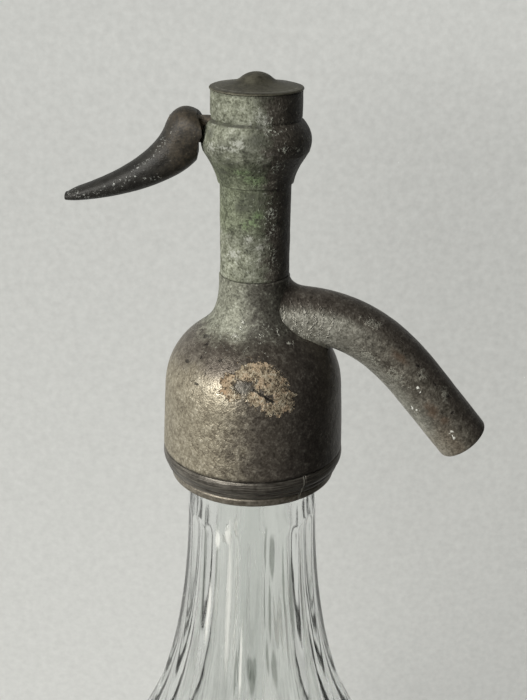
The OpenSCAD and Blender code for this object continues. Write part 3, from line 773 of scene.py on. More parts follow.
def spout_ring(station, radius):
    return [tube_point(station, radius, math.tau * k / SPOUT_SIDES) for k in range(SPOUT_SIDES)]


def root_point(k, t, radius):
    """A point on the straight root's side k, t millimetres from the bell's axis."""
    base = Vector((0, SPOUT_AXIS_Z)) + onward(-SPOUT_FALL) * t
    return tube_point((base, -SPOUT_FALL), radius, math.tau * k / SPOUT_SIDES)


def leaves_bell(k):
    """Where a side of the straight root comes out of the bell's skin."""
    t = 0.0
    while t < ROOT_SEARCH:
        p = root_point(k, t, SPOUT_R)
        if math.hypot(p.x, p.y) > surface_radius(p.z):
            break
        t += SEARCH_STEP
    return t


def on_bell(p, sunk):
    """The point moved level to the bell's skin, or a little under it."""
    r = surface_radius(p.z) - sunk
    flat = math.hypot(p.x, p.y)
    return Vector((p.x * r / flat, p.y * r / flat, p.z))


def spout_root():
    """Rings from inside the bell's wall, so that no flat end shows, over the fillet to the end of the root."""
    every = range(SPOUT_SIDES)
    fillet = [FILLET + FILLET_TOP * max(0.0, math.cos(math.tau * k / SPOUT_SIDES)) ** 3 for k in every]
    leave = [leaves_bell(k) for k in every]
    rings = [[root_point(k, 6.0, 3.5) for k in every],
             [on_bell(root_point(k, leave[k] - 1.5, SPOUT_R - 1), 1.6) for k in every]]
    for step in range(10):
        s = step / 9
        ring = []
        for k in every:
            foot = on_bell(root_point(k, leave[k] - 0.3, SPOUT_R + fillet[k] * 0.8), 0.12)
            corner = root_point(k, leave[k], SPOUT_R)
            away = root_point(k, leave[k] + fillet[k], SPOUT_R)
            ring.append((1 - s) ** 2 * foot + 2 * s * (1 - s) * corner + s * s * away)
        rings.append(ring)
    for i in range(1, 5):
        ring = []
        for k in every:
            t = leave[k] + fillet[k]
            ring.append(root_point(k, t + (ROOT_LEN - t) * i / 5 if t < ROOT_LEN else t + 0.01 * i, SPOUT_R))
        rings.append(ring)
    return rings


def make_spout():
    rings = spout_root() + [spout_ring(station, SPOUT_R) for station in SPOUT_LINE[9:-1]]
    end_place, heading = SPOUT_LINE[-1]
    lip = [(SPOUT_R, -1.0), (SPOUT_R - 0.06, -0.55), (SPOUT_R - 0.25, -0.2), (SPOUT_R - 0.6, -0.02),
           (SPOUT_R - 0.8, 0), (SPOUT_BORE + 0.5, 0), (SPOUT_BORE + 0.15, -0.15), (SPOUT_BORE, -0.5)]
    rings += [spout_ring((end_place + onward(heading) * along, heading), radius) for radius, along in lip]
    for station in SPOUT_LINE[-2::-1]:
        if station[0].x < BORE_END_X:
            break
        rings.append(spout_ring(station, SPOUT_BORE))
    piece = skinned("bent_spout", [[on_head(*p) for p in ring] for ring in rings], sharp=50)
    weather(piece, 0.12, 7, outside_of=28, seed=11)
    places = [along_spout(v.co) for v in piece.data.vertices]
    note(piece, "along", [place[0] for place in places])
    note(piece, "lift", [place[1] for place in places])
    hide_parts("spout")
    return piece


def bulb_side():
    low = curve((10.9, WEB_TOP + 0.3), (11.6, WEB_TOP + 3), (13.2, 87), (14.9, 89.8), 14)
    return low + curve((14.95, 90.1), (15.75, 92.2), (15.75, 95.2), (13.05, 98.15), 18)


def make_column():
    outline = [(8.5, BELL_TOP), (9.86, BELL_TOP), (9.98, BELL_TOP + 0.2), (10.02, BELL_TOP + 0.8)]
    outline += [(10.0 + 0.1 * t, BELL_TOP + 1 + 25.2 * t) for t in (0.25, 0.5, 0.75, 1)]
    # The turned bead under the bulb, and the groove over it
    outline += [(10.25, 80.65), (10.65, 80.85), (10.75, 81.2), (10.9, WEB_TOP + 0.3)]
    outline += bulb_side()
    outline += [(12.75, 98.3), (12.55, 98.45), (12.55, 98.7), (12.7, 98.95), (12.72, 99.6),
                (RIM_R, COLUMN_TOP - 0.9), (12.72, COLUMN_TOP - 0.25), (12.5, COLUMN_TOP), (10.6, COLUMN_TOP)]
    inside = [(10.6, 86), (8.9, 86), (8.9, 81.5), (2.05, 81.5), (2.05, 78), (7.4, 78), (7.4, 50), (8.5, 50),
              (8.5, BELL_TOP)]
    piece = turned("column_and_bulb", dense(outline, 0.6) + inside, steps=176)
    weather(piece, 0.16, 5.5, outside_of=9.3, seed=5)
    # The slot for the lever's tongue, and the pin's hole across it
    cut(piece, block(*(on_head(*corner) for corner in TONGUE_SLOT)))
    cut(piece, rod(on_head(PIVOT_X, -PIN_HOLE_REACH, PIVOT_Z), on_head(PIVOT_X, PIN_HOLE_REACH, PIVOT_Z),
                   PIN_HOLE_R * MM))
    settle(piece, "column_and_bulb")
    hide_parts("column")
    return piece


def make_cap():
    top = COLUMN_TOP
    face = [(12.75, 0.0), (12.9, 0.15), (12.9, 0.35), (12.72, 0.58), (12.5, 0.68), (12.2, 0.66), (11.6, 0.75),
            (10.0, 1.02), (8.0, 1.42), (6.6, 1.8)]
    face += curve((6.6, 1.8), (4.9, 2.25), (4.5, 2.9), (3.5, 3.55), 9)
    face += curve((3.5, 3.55), (2.7, 4.05), (1.4, 4.5), (0, 4.5), 8)
    outline = [(0.0, top + 0.4), (8.9, top + 0.4), (8.9, top - 5.2), (10.5, top - 5.2), (10.5, top)]
    outline += dense([(r, top + z) for r, z in face], 0.6) + [(0.0, top + 0.4)]
    piece = turned("cap_with_dome", outline)
    weather(piece, 0.07, 4.5, seed=8)
    # The spanner hole with its countersink
    foot = on_head(*SPANNER_HOLE, top + 0.45)
    cut(piece, rod(foot, foot + Vector((0, 0, 4 * MM)), SPANNER_HOLE_R * MM, sides=24))
    deselect()
    bpy.ops.mesh.primitive_cone_add(vertices=24, radius1=0, radius2=COUNTERSINK * MM, depth=COUNTERSINK * MM,
                                    location=foot + Vector((0, 0, 1.9 * MM)))
    cut(piece, bpy.context.object)
    settle(piece, "cap_with_dome")
    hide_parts("cap")
    return piece


def ring_outline():
    """The ring's closed half outline: a shallow bead over a step and a thin lip."""
    side = [(19.4, 6.0), (19.4, -8.6), (19.7, -9.0), (20.1, -9.2), (23.9, -9.2), (24.5, -9.08), (24.85, -8.7),
            (24.9, -8.2), (24.9, -7.15), (24.75, -6.95), (24.62, -6.8), (24.75, -6.62)]
    side += curve((24.75, -6.62), (25.3, -6.2), (25.9, -6.0), (26.2, -5.2), 8)
    side += [(26.27, -4.75), (26.25, -4.45), (26.4, -4.2)]
    side += curve((26.4, -4.2), (26.9, -3.7), (27.2, -3.0), (27.2, -2.0), 8)
    side += [(27.15, -1.2), (27.0, -0.6), (26.75, -0.25), (26.4, -0.12), (24.4, -0.1), (24.4, 9.0), (22.9, 9.0),
             (22.9, 6.0)]
    return side


def make_ring_half(node, side):
    """One half of the split ring. The split is turned from the front towards the spout."""
    outline = ring_outline()
    gap = SPLIT_HALF_GAP / SPLIT_R
    first = SPLIT - math.pi / 2 + gap if side > 0 else SPLIT + math.pi / 2 + gap
    piece = turned(node.replace("ring", "split_ring"), outline + [outline[0]], steps=90, first_angle=first,
                   angle=math.pi - 2 * gap)
    break_edges(piece, 0.12, 1, 80)
    settle(piece, piece.name)
    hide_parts(node)
    return piece


def make_spring():
    """The return spring's coiled wire. Its end turns lie nearly flat."""
    coil_r, wire_r, turns, flat_turns, per_turn = 5.2, 0.65, 7, 0.75, 32
    low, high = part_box("return_spring")
    foot = low.z / MM + wire_r
    rise = high.z / MM - wire_r - foot
    flat_rise = 2.2 * wire_r * flat_turns
    rings = []
    for i in range(turns * per_turn + 1):
        t = i / per_turn
        share = min(1.0, max(0.0, (t - flat_turns) / (turns - 2 * flat_turns)))
        ends = min(1.0, t / flat_turns) + max(0.0, (t - turns) / flat_turns + 1)
        z = foot + flat_rise * ends + (rise - 2 * flat_rise) * share
        a = math.tau * t
        ring = []
        for k in range(12):
            b = math.tau * k / 12
            r = coil_r + wire_r * math.cos(b)
            ring.append((MM * r * math.cos(a), MM * r * math.sin(a), MM * (z + wire_r * math.sin(b))))
        rings.append(ring)
    piece = skinned("coiled_spring", rings)
    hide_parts("return_spring")
    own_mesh(piece)
    return piece


# ---- Lever ----

# Half the horn's width at its root and at its tip, and how far along it the tip starts to be worn round
HORN_WIDE, HORN_TIP_WIDE, WORN_FROM = 7.4, 3.4, 0.93
LEVER_CLEAR = 0.9
# The mortise for the tongue, from corner to corner, measured from the pin
MORTISE = ((-10.55, -2.55, -3.05), (5, 2.55, 4.05))


def horn_rings():
    """Cross-sections of the thumb lever, from the root by the pin to the blunt tip, seen from the pin."""
    top = [(-1.65, 4.42)] + curve((-1.65, 4.42), (-5.78, 7.85), (-9.79, 6.40), (-11.8, 0.99), 20)
    top += curve((-11.8, 0.99), (-15.05, -6.67), (-26.53, -13.13), (-39.3, -17.25), 48)
    edge = [(-1.0, -4.42)] + curve((-1.0, -4.42), (-2.12, -11.72), (-19.6, -19.29), (-39.3, -20.2), 500)
    bottom = [edge[round(120 * i / 20)] for i in range(21)]
    bottom += [edge[120 + round(380 * i / 48)] for i in range(1, 49)]
    count = len(top)
    rings = []
    for i, (a, b) in enumerate(zip(top, bottom)):
        t = i / (count - 1)
        # The last few millimetres are worn round
        worn = max(0.0, (t - WORN_FROM) / (1 - WORN_FROM)) ** 2.2
        a = (a[0], a[1] - 0.5 * worn)
        b = (b[0], b[1] + 0.15 * worn)
        rings.append((a, b, HORN_WIDE + (HORN_TIP_WIDE - HORN_WIDE) * t ** 1.3 - 0.9 * worn))
    a, b, wide = rings[-1]
    middle = ((a[0] + b[0]) / 2, (a[1] + b[1]) / 2)
    half = ((a[0] - b[0]) / 2, (a[1] - b[1]) / 2)
    for shrink, on in ((0.985, 0.25), (0.93, 0.48), (0.83, 0.64), (0.6, 0.74), (0.2, 0.76)):
        rings.append(((middle[0] - on + half[0] * shrink, middle[1] + half[1] * shrink),
                      (middle[0] - on - half[0] * shrink, middle[1] - half[1] * shrink), wide * shrink))
    return rings


def make_handle():
    points, fullness = 64, 0.85
    rings = []
    for a, b, wide in horn_rings():
        ring = []
        for k in range(points):
            turn = math.tau * k / points
            c, s = math.cos(turn), math.sin(turn)
            up = math.copysign(abs(s) ** fullness, s)
            out = math.copysign(abs(c) ** fullness, c)
            x = (a[0] + b[0]) / 2 + (a[0] - b[0]) / 2 * up
            z = (a[1] + b[1]) / 2 + (a[1] - b[1]) / 2 * up
            ring.append(on_head(PIVOT_X + x, wide * out, PIVOT_Z + z))
        rings.append(ring)
    piece = skinned("thumb_lever", rings)
    weather(piece, 0.10, 4, seed=17)
    pivot = on_head(PIVOT_X, 0, PIVOT_Z)
    # The hollow face at the bulb's side: straight at rest, and clear of the bulb with the lever pressed
    cut(piece, rod(on_head(0, 0, 60), on_head(0, 0, 130), (BULB_R + LEVER_CLEAR) * MM, sides=128))
    grown = [(0, WEB_TOP)] + [(r + LEVER_CLEAR, z) for r, z in bulb_side()]
    grown += [(RIM_R + LEVER_CLEAR, COLUMN_TOP), (0, COLUMN_TOP), (0, WEB_TOP)]
    bulb = turned("pressed_bulb", grown, steps=96)
    there, back = Matrix.Translation(pivot), Matrix.Translation(-pivot)
    bulb.matrix_world = there @ Matrix.Rotation(LIFT_ANGLE, 4, "Y") @ back
    bpy.context.view_layer.update()
    cut(piece, bulb)
    cut(piece, block(*(pivot + Vector(corner) * MM for corner in MORTISE)))
    break_edges(piece, 0.3, 2, 50)
    settle(piece, "thumb_lever")
    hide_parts("lever_handle")
    return piece


# ---- Finishes ----

# Marks on a piece are placed as (arc round it, height, radius across, radius up). The arcs lie on these radii.
BELL_ARC, RING_ARC, COLUMN_ARC, NECK_ARC = 24.5, 26.0, 10.0, 20.0
DIRT = (0.03, 0.026, 0.022)


def scaled(colour, factor):
    return tuple(factor * part for part in colour)


CRUST_SPOTS = ((-7.3, 29.2, 2.9, 3.3), (-5.4, 26.8, 2.6, 2.4), (0.3, 32.3, 6.4, 3.1), (4.6, 29.6, 5.2, 4.2),
               (8.0, 25.2, 4.3, 4.6), (6.0, 22.6, 5.6, 2.4), (0.4, 26.4, 3.6, 3.2), (-3.6, 31.6, 2.2, 1.6))
PALE_SPOTS = ((-6.7, 43.2, 2.4, 1.8), (-7.6, 41.6, 3.0, 1.8), (7.6, 42.2, 3.4, 1.8), (-9.8, 39.4, 4.0, 1.4),
              (3.6, 40.0, 3.0, 1.6), (12.4, 40.2, 2.6, 1.2), (16.5, 37.4, 2.6, 1.0))
PITS = ((-24.6, 31.3, 1.3, 0.7), (-11.4, 34.0, 1.1, 0.5), (-25.0, 37.6, 2.6, 0.7), (-17.4, 27.2, 1.5, 0.5),
        (-19.5, 33.6, 0.8, 0.6), (-21.0, 36.4, 1.6, 0.5))
HOLLOW_PLACE = ((-3.2, 28.4), (3.2, 1.7))
POLISHED_PLACE = ((-9.6, 27.4), (5.0, 4.0))
SCRATCH_START, SCRATCH_RUN = (0.3, 28.0), (5.2, -3.3)
# Shades from dark to light, each with its place on the mottling
BROWN = ((0.34, (0.070, 0.058, 0.047)), (0.50, (0.155, 0.134, 0.110)), (0.64, (0.30, 0.270, 0.225)))
SHADED_BROWN = ((0.34, (0.044, 0.036, 0.031)), (0.54, (0.110, 0.096, 0.082)), (0.70, (0.27, 0.25, 0.215)))
LIT_WORN_SAND = ((0.26, (0.10, 0.083, 0.060)), (0.42, (0.25, 0.218, 0.160)), (0.55, (0.40, 0.360, 0.272)),
             (0.72, (0.66, 0.61, 0.50)))
SHOULDER_DARK = ((0.34, (0.062, 0.051, 0.042)), (0.52, (0.122, 0.104, 0.085)), (0.70, (0.25, 0.225, 0.185)))
NECK_STONE = ((0.35, (0.085, 0.085, 0.064)), (0.50, (0.235, 0.238, 0.185)), (0.64, (0.44, 0.45, 0.37)))
NECK_SHADE = ((0.38, (0.050, 0.043, 0.036)), (0.54, (0.13, 0.125, 0.102)), (0.68, (0.36, 0.36, 0.30)))
CRUST_HOLLOW = ((0.35, (0.050, 0.047, 0.042)), (0.65, (0.12, 0.116, 0.104)))
CRUST = ((0.36, (0.040, 0.028, 0.018)), (0.43, (0.165, 0.125, 0.080)), (0.50, (0.36, 0.295, 0.200)),
         (0.58, (0.52, 0.46, 0.34)), (0.68, (0.78, 0.74, 0.62)))
PALE_FLAKE = (0.62, 0.62, 0.54)
BELL_SPECK = (0.035, 0.029, 0.024)
BELL_PIT = (0.030, 0.025, 0.021)
RUST = (0.44, 0.27, 0.15)
SCRATCH = (0.022, 0.018, 0.015)


def bell_pewter():
    """Old pewter: worn beige and grainy at the left, partly painted light; smooth and dark on the shoulder;
    painted shade away from the light.
    """
    f = Finish("bell_pewter")
    arc = f.arc(BELL_ARC)
    cloud, mottle, grain = f.grains(9, 2.4, seed=0.0)
    ragged = cloud * 0.6 + mottle * 0.4 - 0.5
    # Base coat: brown, darker away from the light
    brown = f.ramp(mottle * 0.5 + grain * 0.5, BROWN)
    far = ((arc - 9) / 11 + ragged * 2.4).rise(-0.6, 0.7)
    f.colour = f.blend(far, brown, f.ramp(mottle * 0.5 + grain * 0.5, SHADED_BROWN))
    # The worn place, painted lighter where the light falls: partly wear, partly painted light
    worn = ((-4.0 - arc) / 16 + ragged * 2.6).rise(-0.5, 0.6) * (f.z + ragged * 20).rise(36.0, 25.0)
    lit_sand = f.ramp(grain * 0.5 + mottle * 0.5, LIT_WORN_SAND)
    f.paint(worn, lit_sand)
    # The shoulder is darker and smoother, and the neck above it mottled
    shoulder = (f.z + ragged * 9).rise(27.5, 33.0) * (arc + ragged * 18).rise(-27.0, -14.0)
    skin = f.ramp(mottle * 0.65 + grain * 0.35, SHOULDER_DARK)
    f.paint(shoulder * (1 - far * 0.75) * 0.9, skin)
    neck = (f.z + ragged * 10).rise(35.5, 41.0)
    # The neck's right side is painted shade, away from the light; its left keeps the pale stone colour
    left = (f.x + 2 + ragged * 8).rise(3.6, -3.4)
    stone = f.ramp(mottle * 0.45 + grain * 0.55, NECK_STONE)
    neck_shade = f.ramp(mottle * 0.5 + grain * 0.5, NECK_SHADE)
    f.paint(neck, f.blend(left, neck_shade, stone))
    flake = f.noise(1.0, detail=3, roughness=0.7, seed=6.0)
    pale = (arc.nearest_spot(f.z, PALE_SPOTS) + (flake - 0.5) * 5.0 + (grain - 0.5) * 2.0).rise(0.65, 1.15)
    crumb_line = ((f.z + ragged * 4).band(38.0, 3.0, 3.0) * (flake - 0.5)).rise(0.10, 0.16)
    pale = pale.highest(crumb_line * (1 - far) * 0.8)
    f.paint(pale * 0.85, PALE_FLAKE)
    # Dark specks and pits, and dirt along the lower edge
    speck = f.noise(0.75, detail=3, roughness=0.7, seed=5.0).rise(0.62, 0.70) * (1 - far)
    pits = (arc.nearest_spot(f.z, PITS) + (flake - 0.5) * 2.2).rise(0.25, 0.6)
    f.paint(speck * 0.6, BELL_SPECK)
    f.paint(pits * 0.8, BELL_PIT)
    dirt = f.noise(1.6, detail=4, seed=8.0)
    f.paint((f.z + dirt * 1.6).rise(1.9, 0.7) * 0.8, DIRT)
    # The thick crust in front
    edge = f.noise(2.3, detail=4, roughness=0.78, seed=11.0)
    crumbs = f.noise(0.70, detail=2, roughness=0.65, seed=13.0)
    lumps = f.noise(2.2, detail=3, seed=14.0)
    hollow = (arc.spot(f.z, *HOLLOW_PLACE) + (edge - 0.5) * 2.8).rise(-0.1, 0.35)
    inside = arc.nearest_spot(f.z, CRUST_SPOTS) + (edge - 0.5) * 3.2 + (crumbs - 0.5) * 0.5 - 0.16
    crust = inside.rise(0.0, 0.12) * (1 - hollow)
    f.paint(hollow * 0.7, f.ramp(mottle, CRUST_HOLLOW))
    lime = f.ramp(crumbs * 0.75 + lumps * 0.25, CRUST)
    # Painted shade: the crust is darker towards the right, away from the light
    shaded = f.shade(lime, f.mix(arc.rise(-1.0, 9.5), 1.04, 0.66))
    rusty = (lumps.rise(0.50, 0.62) * 0.45 + arc.rise(-5, -8) * 0.35) * crumbs.rise(0.35, 0.55)
    f.paint(crust, f.blend(rusty, shaded, RUST))
    # The long scratch through it
    (start, foot), (run, climb) = SCRATCH_START, SCRATCH_RUN
    part = (((arc - start) * run + (f.z - foot) * climb) / (run * run + climb * climb)).clamp()
    away = ((arc - start - part * run) ** 2.0 + (f.z - foot - part * climb) ** 2.0) ** 0.5
    scratch = (away + (crumbs - 0.5) * 0.5).rise(0.40, 0.16)
    f.paint(scratch * 0.9, SCRATCH)
    f.feed("Metallic", 0.6 - crust * 0.6 - pale * 0.4 - neck * 0.3)
    polished = arc.spot(f.z, *POLISHED_PLACE).rise(0.0, 0.7)
    rough = 0.33 + 0.20 * grain + 0.08 * worn + 0.16 * neck - 0.11 * polished
    height = (f.noise(6, detail=2, seed=7.0) * 0.6 + mottle * 1.0 + grain * (0.45 + 0.45 * worn) - pits * 0.8
              - speck * 0.4 + crust * (1.3 + crumbs * 2.6 + lumps * 0.6) + pale * 0.9 - scratch * 1.4)
    return f.done(f.mix(crust, rough, 0.88), height, 0.26)


SPOUT_SPECKS = ((54.8, 0.2, 0.8, 0.6), (56.4, -0.2, 0.5, 0.5), (59.9, -5.2, 0.8, 0.5), (74.5, -0.8, 1.5, 0.5),
                (72.8, -0.1, 0.6, 0.5), (61.0, -4.4, 0.5, 0.5))
SPOUT_PITS = ((49.7, 4.4, 1.5, 1.0), (68.3, 3.5, 0.8, 0.7), (52.2, 3.0, 0.6, 0.8), (57.5, 4.6, 1.2, 0.6),
              (63.5, 5.4, 1.2, 0.8))
SPOUT_PALE = ((48.0, -2.4, 6.5, 2.8), (32.2, 5.4, 4.2, 1.9), (52.5, 3.6, 3.4, 2.4), (62.0, 4.9, 5.0, 2.2),
              (37.0, -3.6, 8.0, 3.0))
SPOUT_STAINS = ((63.5, -0.8, 4.0, 2.6), (68.2, 0.3, 3.2, 2.2), (44.0, 2.5, 5.0, 1.8))
# Shades from dark to light, each with its place on the mottling
SPOUT_BROWN = ((0.34, (0.060, 0.052, 0.041)), (0.50, (0.165, 0.149, 0.120)), (0.66, (0.36, 0.338, 0.282)))
SPOUT_WORN = ((0.34, (0.17, 0.165, 0.135)), (0.48, (0.37, 0.36, 0.305)), (0.62, (0.62, 0.61, 0.53)))
SPOUT_TOP = ((0.36, (0.050, 0.041, 0.033)), (0.54, (0.112, 0.096, 0.080)), (0.70, (0.26, 0.240, 0.205)))
SPOUT_MOUTH = ((0.35, (0.20, 0.165, 0.12)), (0.65, (0.45, 0.38, 0.29)))
FILED = (0.66, 0.64, 0.56)
WORN_SPOT = (0.46, 0.455, 0.385)
STAIN = (0.19, 0.115, 0.070)
SPOUT_PIT = (0.026, 0.022, 0.019)
BRIGHT_SPECK = (0.85, 0.85, 0.78)
SOLDER = (0.60, 0.60, 0.52)


def spout_pewter():
    """Pewter like the bell's, with a dark top, pale ripples at the root and spots of wear down its front."""
    f = Finish("spout_pewter")
    along, lift = f.attribute("along"), f.attribute("lift")
    cloud, mottle, grain = f.grains(7, 2.2, seed=70.0)
    flake = f.noise(1.1, detail=3, roughness=0.7, seed=76.0)
    ragged = cloud * 0.6 + mottle * 0.4 - 0.5
    f.colour = f.ramp(mottle * 0.6 + grain * 0.4, SPOUT_BROWN)
    pale = f.ramp(mottle * 0.45 + grain * 0.55, SPOUT_WORN)
    root = (along + ragged * 16).rise(42, 20) * (lift + ragged * 5).rise(5.5, 2.0)
    f.paint(root * 0.95, pale)
    low = (lift + ragged * 8).rise(-1.8, -6.0)
    f.paint(low * 0.75, pale)
    # Curved ripples where the root was dressed with a file
    wave = f.math("SINE", (along + 0.06 * lift * lift + (mottle - 0.5) * 5.0) * 2.3)
    ripple = (wave.rise(0.35, 0.98) * along.band(15.0, 6.0, 5.0) * lift.band(1.0, 3.0, 3.0)
              * flake.rise(0.40, 0.62))
    f.paint(ripple * 0.8, FILED)
    top = (lift + ragged * 6.0).rise(2.4, 6.0)
    bronze = f.ramp(mottle * 0.5 + grain * 0.5, SPOUT_TOP)
    f.paint(top * 0.9, bronze)
    spots = (along.nearest_spot(lift, SPOUT_PALE) + (flake - 0.5) * 3.2 + (mottle - 0.5) * 1.2).rise(0.35, 0.95)
    f.paint(spots * 0.6, WORN_SPOT)
    stains = (along.nearest_spot(lift, SPOUT_STAINS) + (mottle - 0.5) * 2.2).rise(0.1, 0.9)
    f.paint(stains * 0.5, STAIN)
    mouth = (along + ragged * 8).rise(66, 74) * (lift + ragged * 6).rise(2.0, -2.0)
    f.paint(mouth * 0.5, f.ramp(grain, SPOUT_MOUTH))
    pits = (along.nearest_spot(lift, SPOUT_PITS) + (flake - 0.5) * 2.4).rise(0.35, 0.65)
    dots = f.noise(0.75, detail=3, roughness=0.7, seed=75.0).rise(0.63, 0.70)
    f.paint((pits * 0.85).highest(dots * 0.65), SPOUT_PIT)
    specks = (along.nearest_spot(lift, SPOUT_SPECKS) + (grain - 0.5) * 4.0).rise(0.35, 0.6)
    f.paint(specks, BRIGHT_SPECK)
    # Crumbs of old solder under the root
    solder = (lift + ragged * 4).rise(-3.0, -5.0) * along.rise(27, 20) * flake.rise(0.52, 0.60)
    f.paint(solder * 0.8, SOLDER)
    f.feed("Metallic", 0.45 - specks * 0.45)
    height = (f.noise(5, detail=2, seed=77.0) * 0.7 + mottle * 1.1 + grain * 0.6 - pits * 1.0 - dots * 0.5
              + ripple * 1.2 + specks * 0.5 + solder * 1.2 + spots * 0.5)
    return f.done(0.36 + 0.22 * grain + 0.1 * spots, height, 0.28)


# Shades from dark to light, each with its place on the mottling
RING_LIP = ((0.36, (0.13, 0.11, 0.085)), (0.52, (0.28, 0.25, 0.20)), (0.68, (0.50, 0.46, 0.38)))
WORN_EDGE = (0.42, 0.41, 0.36)
SPLIT_HIGHLIGHT = (0.62, 0.60, 0.53)


def pewter(name, dark, light, shine, seed, rings=0.0, streaks=0.0):
    """Tarnished metal: mottled, worn lighter in places, with fine dark specks and the lathe's marks."""
    f = Finish(name, Metallic=0.6)
    cloud, mottle, grain = f.grains(8, 2.2, seed, roughness=0.7)
    worn = (cloud * 0.4 + mottle * 0.4 + grain * 0.2).rise(0.40, 0.62)
    height = f.noise(6, detail=2, seed=seed + 7) * 0.5 + mottle * 0.5 + grain * 0.4
    if streaks:
        # Long marks that run round the piece
        round_it = f.noise(1.0, detail=5, roughness=0.7, seed=seed + 4,
                           place=f.sheet(f.arc(RING_ARC) * 0.11, f.z * 2.6))
        worn = f.mix(streaks, worn, round_it.rise(0.42, 0.62))
        height = height + round_it * 0.25
    f.colour = f.blend(worn, dark, light)
    if rings:
        radius = (f.x * f.x + f.y * f.y) ** 0.5
        turned_marks = f.noise(0.42, detail=3, seed=seed + 5, place=f.sheet(radius))
        f.paint(turned_marks.rise(0.50, 0.66) * rings, scaled(light, 1.9))
        # A bright turned line inside the rim, and the worn edge of the spanner hole
        line = radius.band(11.3, 0.10, 0.14) * f.y.rise(-1, -5) * mottle.rise(0.36, 0.52)
        hole_x, hole_y = SPANNER_HOLE
        off = ((f.x - hole_x) ** 2.0 + (f.y - hole_y) ** 2.0) ** 0.5
        f.paint((line * 0.5).highest(off.band(1.15, 0.2, 0.25) * 0.6), WORN_EDGE)
        height = height + turned_marks * 0.25
    speck = f.noise(0.8, detail=2, seed=seed + 6).rise(0.66, 0.74)
    f.paint(speck * 0.6, DIRT)
    if streaks:
        # The lip is worn bright and brown, and the ends of the halves where they meet get a painted highlight
        lip = (f.z + (mottle - 0.5) * 1.6).rise(-6.4, -7.0)
        f.paint(lip * 0.7, f.ramp(grain * 0.5 + mottle * 0.5, RING_LIP))
        along_split = f.x * math.cos(SPLIT) + f.y * math.sin(SPLIT)
        ends = abs(along_split).rise(0.5, 0.25) * (mottle + grain).rise(0.75, 1.0)
        f.paint(ends * 0.9, SPLIT_HIGHLIGHT)
    return f.done(shine + 0.16 * mottle + 0.12 * grain, height, 0.2)


GREEN_SPOTS = ((-1.0, 71.8, 2.8, 2.2), (-2.6, 70.6, 2.2, 1.8), (0.6, 73.6, 2.0, 2.0), (-0.4, 84.0, 4.0, 2.4),
               (-3.0, 86.0, 3.4, 1.4))
WHITE_SPOTS = ((-5.2, 92.8, 3.6, 1.6), (-3.2, 94.2, 2.6, 2.0), (1.6, 99.8, 2.8, 4.2), (-2.0, 67.0, 2.6, 1.8),
               (3.6, 91.6, 2.8, 1.2), (-9.0, 92.2, 1.6, 2.4), (1.0, 64.6, 3.0, 1.6), (-6.0, 62.0, 4.0, 3.0))
DARK_SPOTS = ((0.6, 95.2, 3.0, 2.4), (-5.4, 88.0, 3.6, 1.9), (-10.0, 95.4, 1.4, 1.8), (-3.9, 75.4, 3.2, 1.7),
              (0.5, 87.2, 3.0, 1.7), (2.0, 78.0, 2.6, 3.4), (2.4, 105.0, 4.2, 1.6), (-7.6, 85.4, 2.6, 1.2),
              (-0.8, 79.0, 2.0, 1.6))
FLECK_SPOTS = ((4.6, 74.6, 3.0, 5.2), (4.6, 69.4, 2.8, 4.0), (5.6, 61.6, 2.2, 4.0), (5.4, 93.0, 4.2, 2.2),
               (4.2, 88.0, 2.4, 3.2), (8.6, 91.8, 2.4, 1.8), (3.2, 98.6, 2.6, 3.4))
# Shades from dark to light, each with its place on the mottling
PATINA = ((0.36, (0.030, 0.030, 0.020)), (0.43, (0.095, 0.100, 0.068)), (0.50, (0.185, 0.194, 0.143)),
          (0.57, (0.285, 0.297, 0.235)), (0.66, (0.56, 0.57, 0.49)))
GREEN_PATINA = ((0.38, (0.030, 0.037, 0.017)), (0.50, (0.120, 0.145, 0.074)), (0.62, (0.30, 0.345, 0.21)))
DARK_PATINA_AND_SHADE = ((0.36, (0.028, 0.023, 0.018)), (0.54, (0.072, 0.061, 0.050)), (0.68, (0.21, 0.195, 0.16)))
GREEN_SPOT = (0.215, 0.310, 0.145)
DARK_SPOT = (0.050, 0.052, 0.036)
WHITE_SPOT = (0.47, 0.48, 0.43)
FLECK = (0.45, 0.47, 0.40)
GREEN_DIRT = (0.030, 0.028, 0.021)
GROOVE_Z, BEAD_Z, SEAM_Z = 98.35, 80.7, 54.2


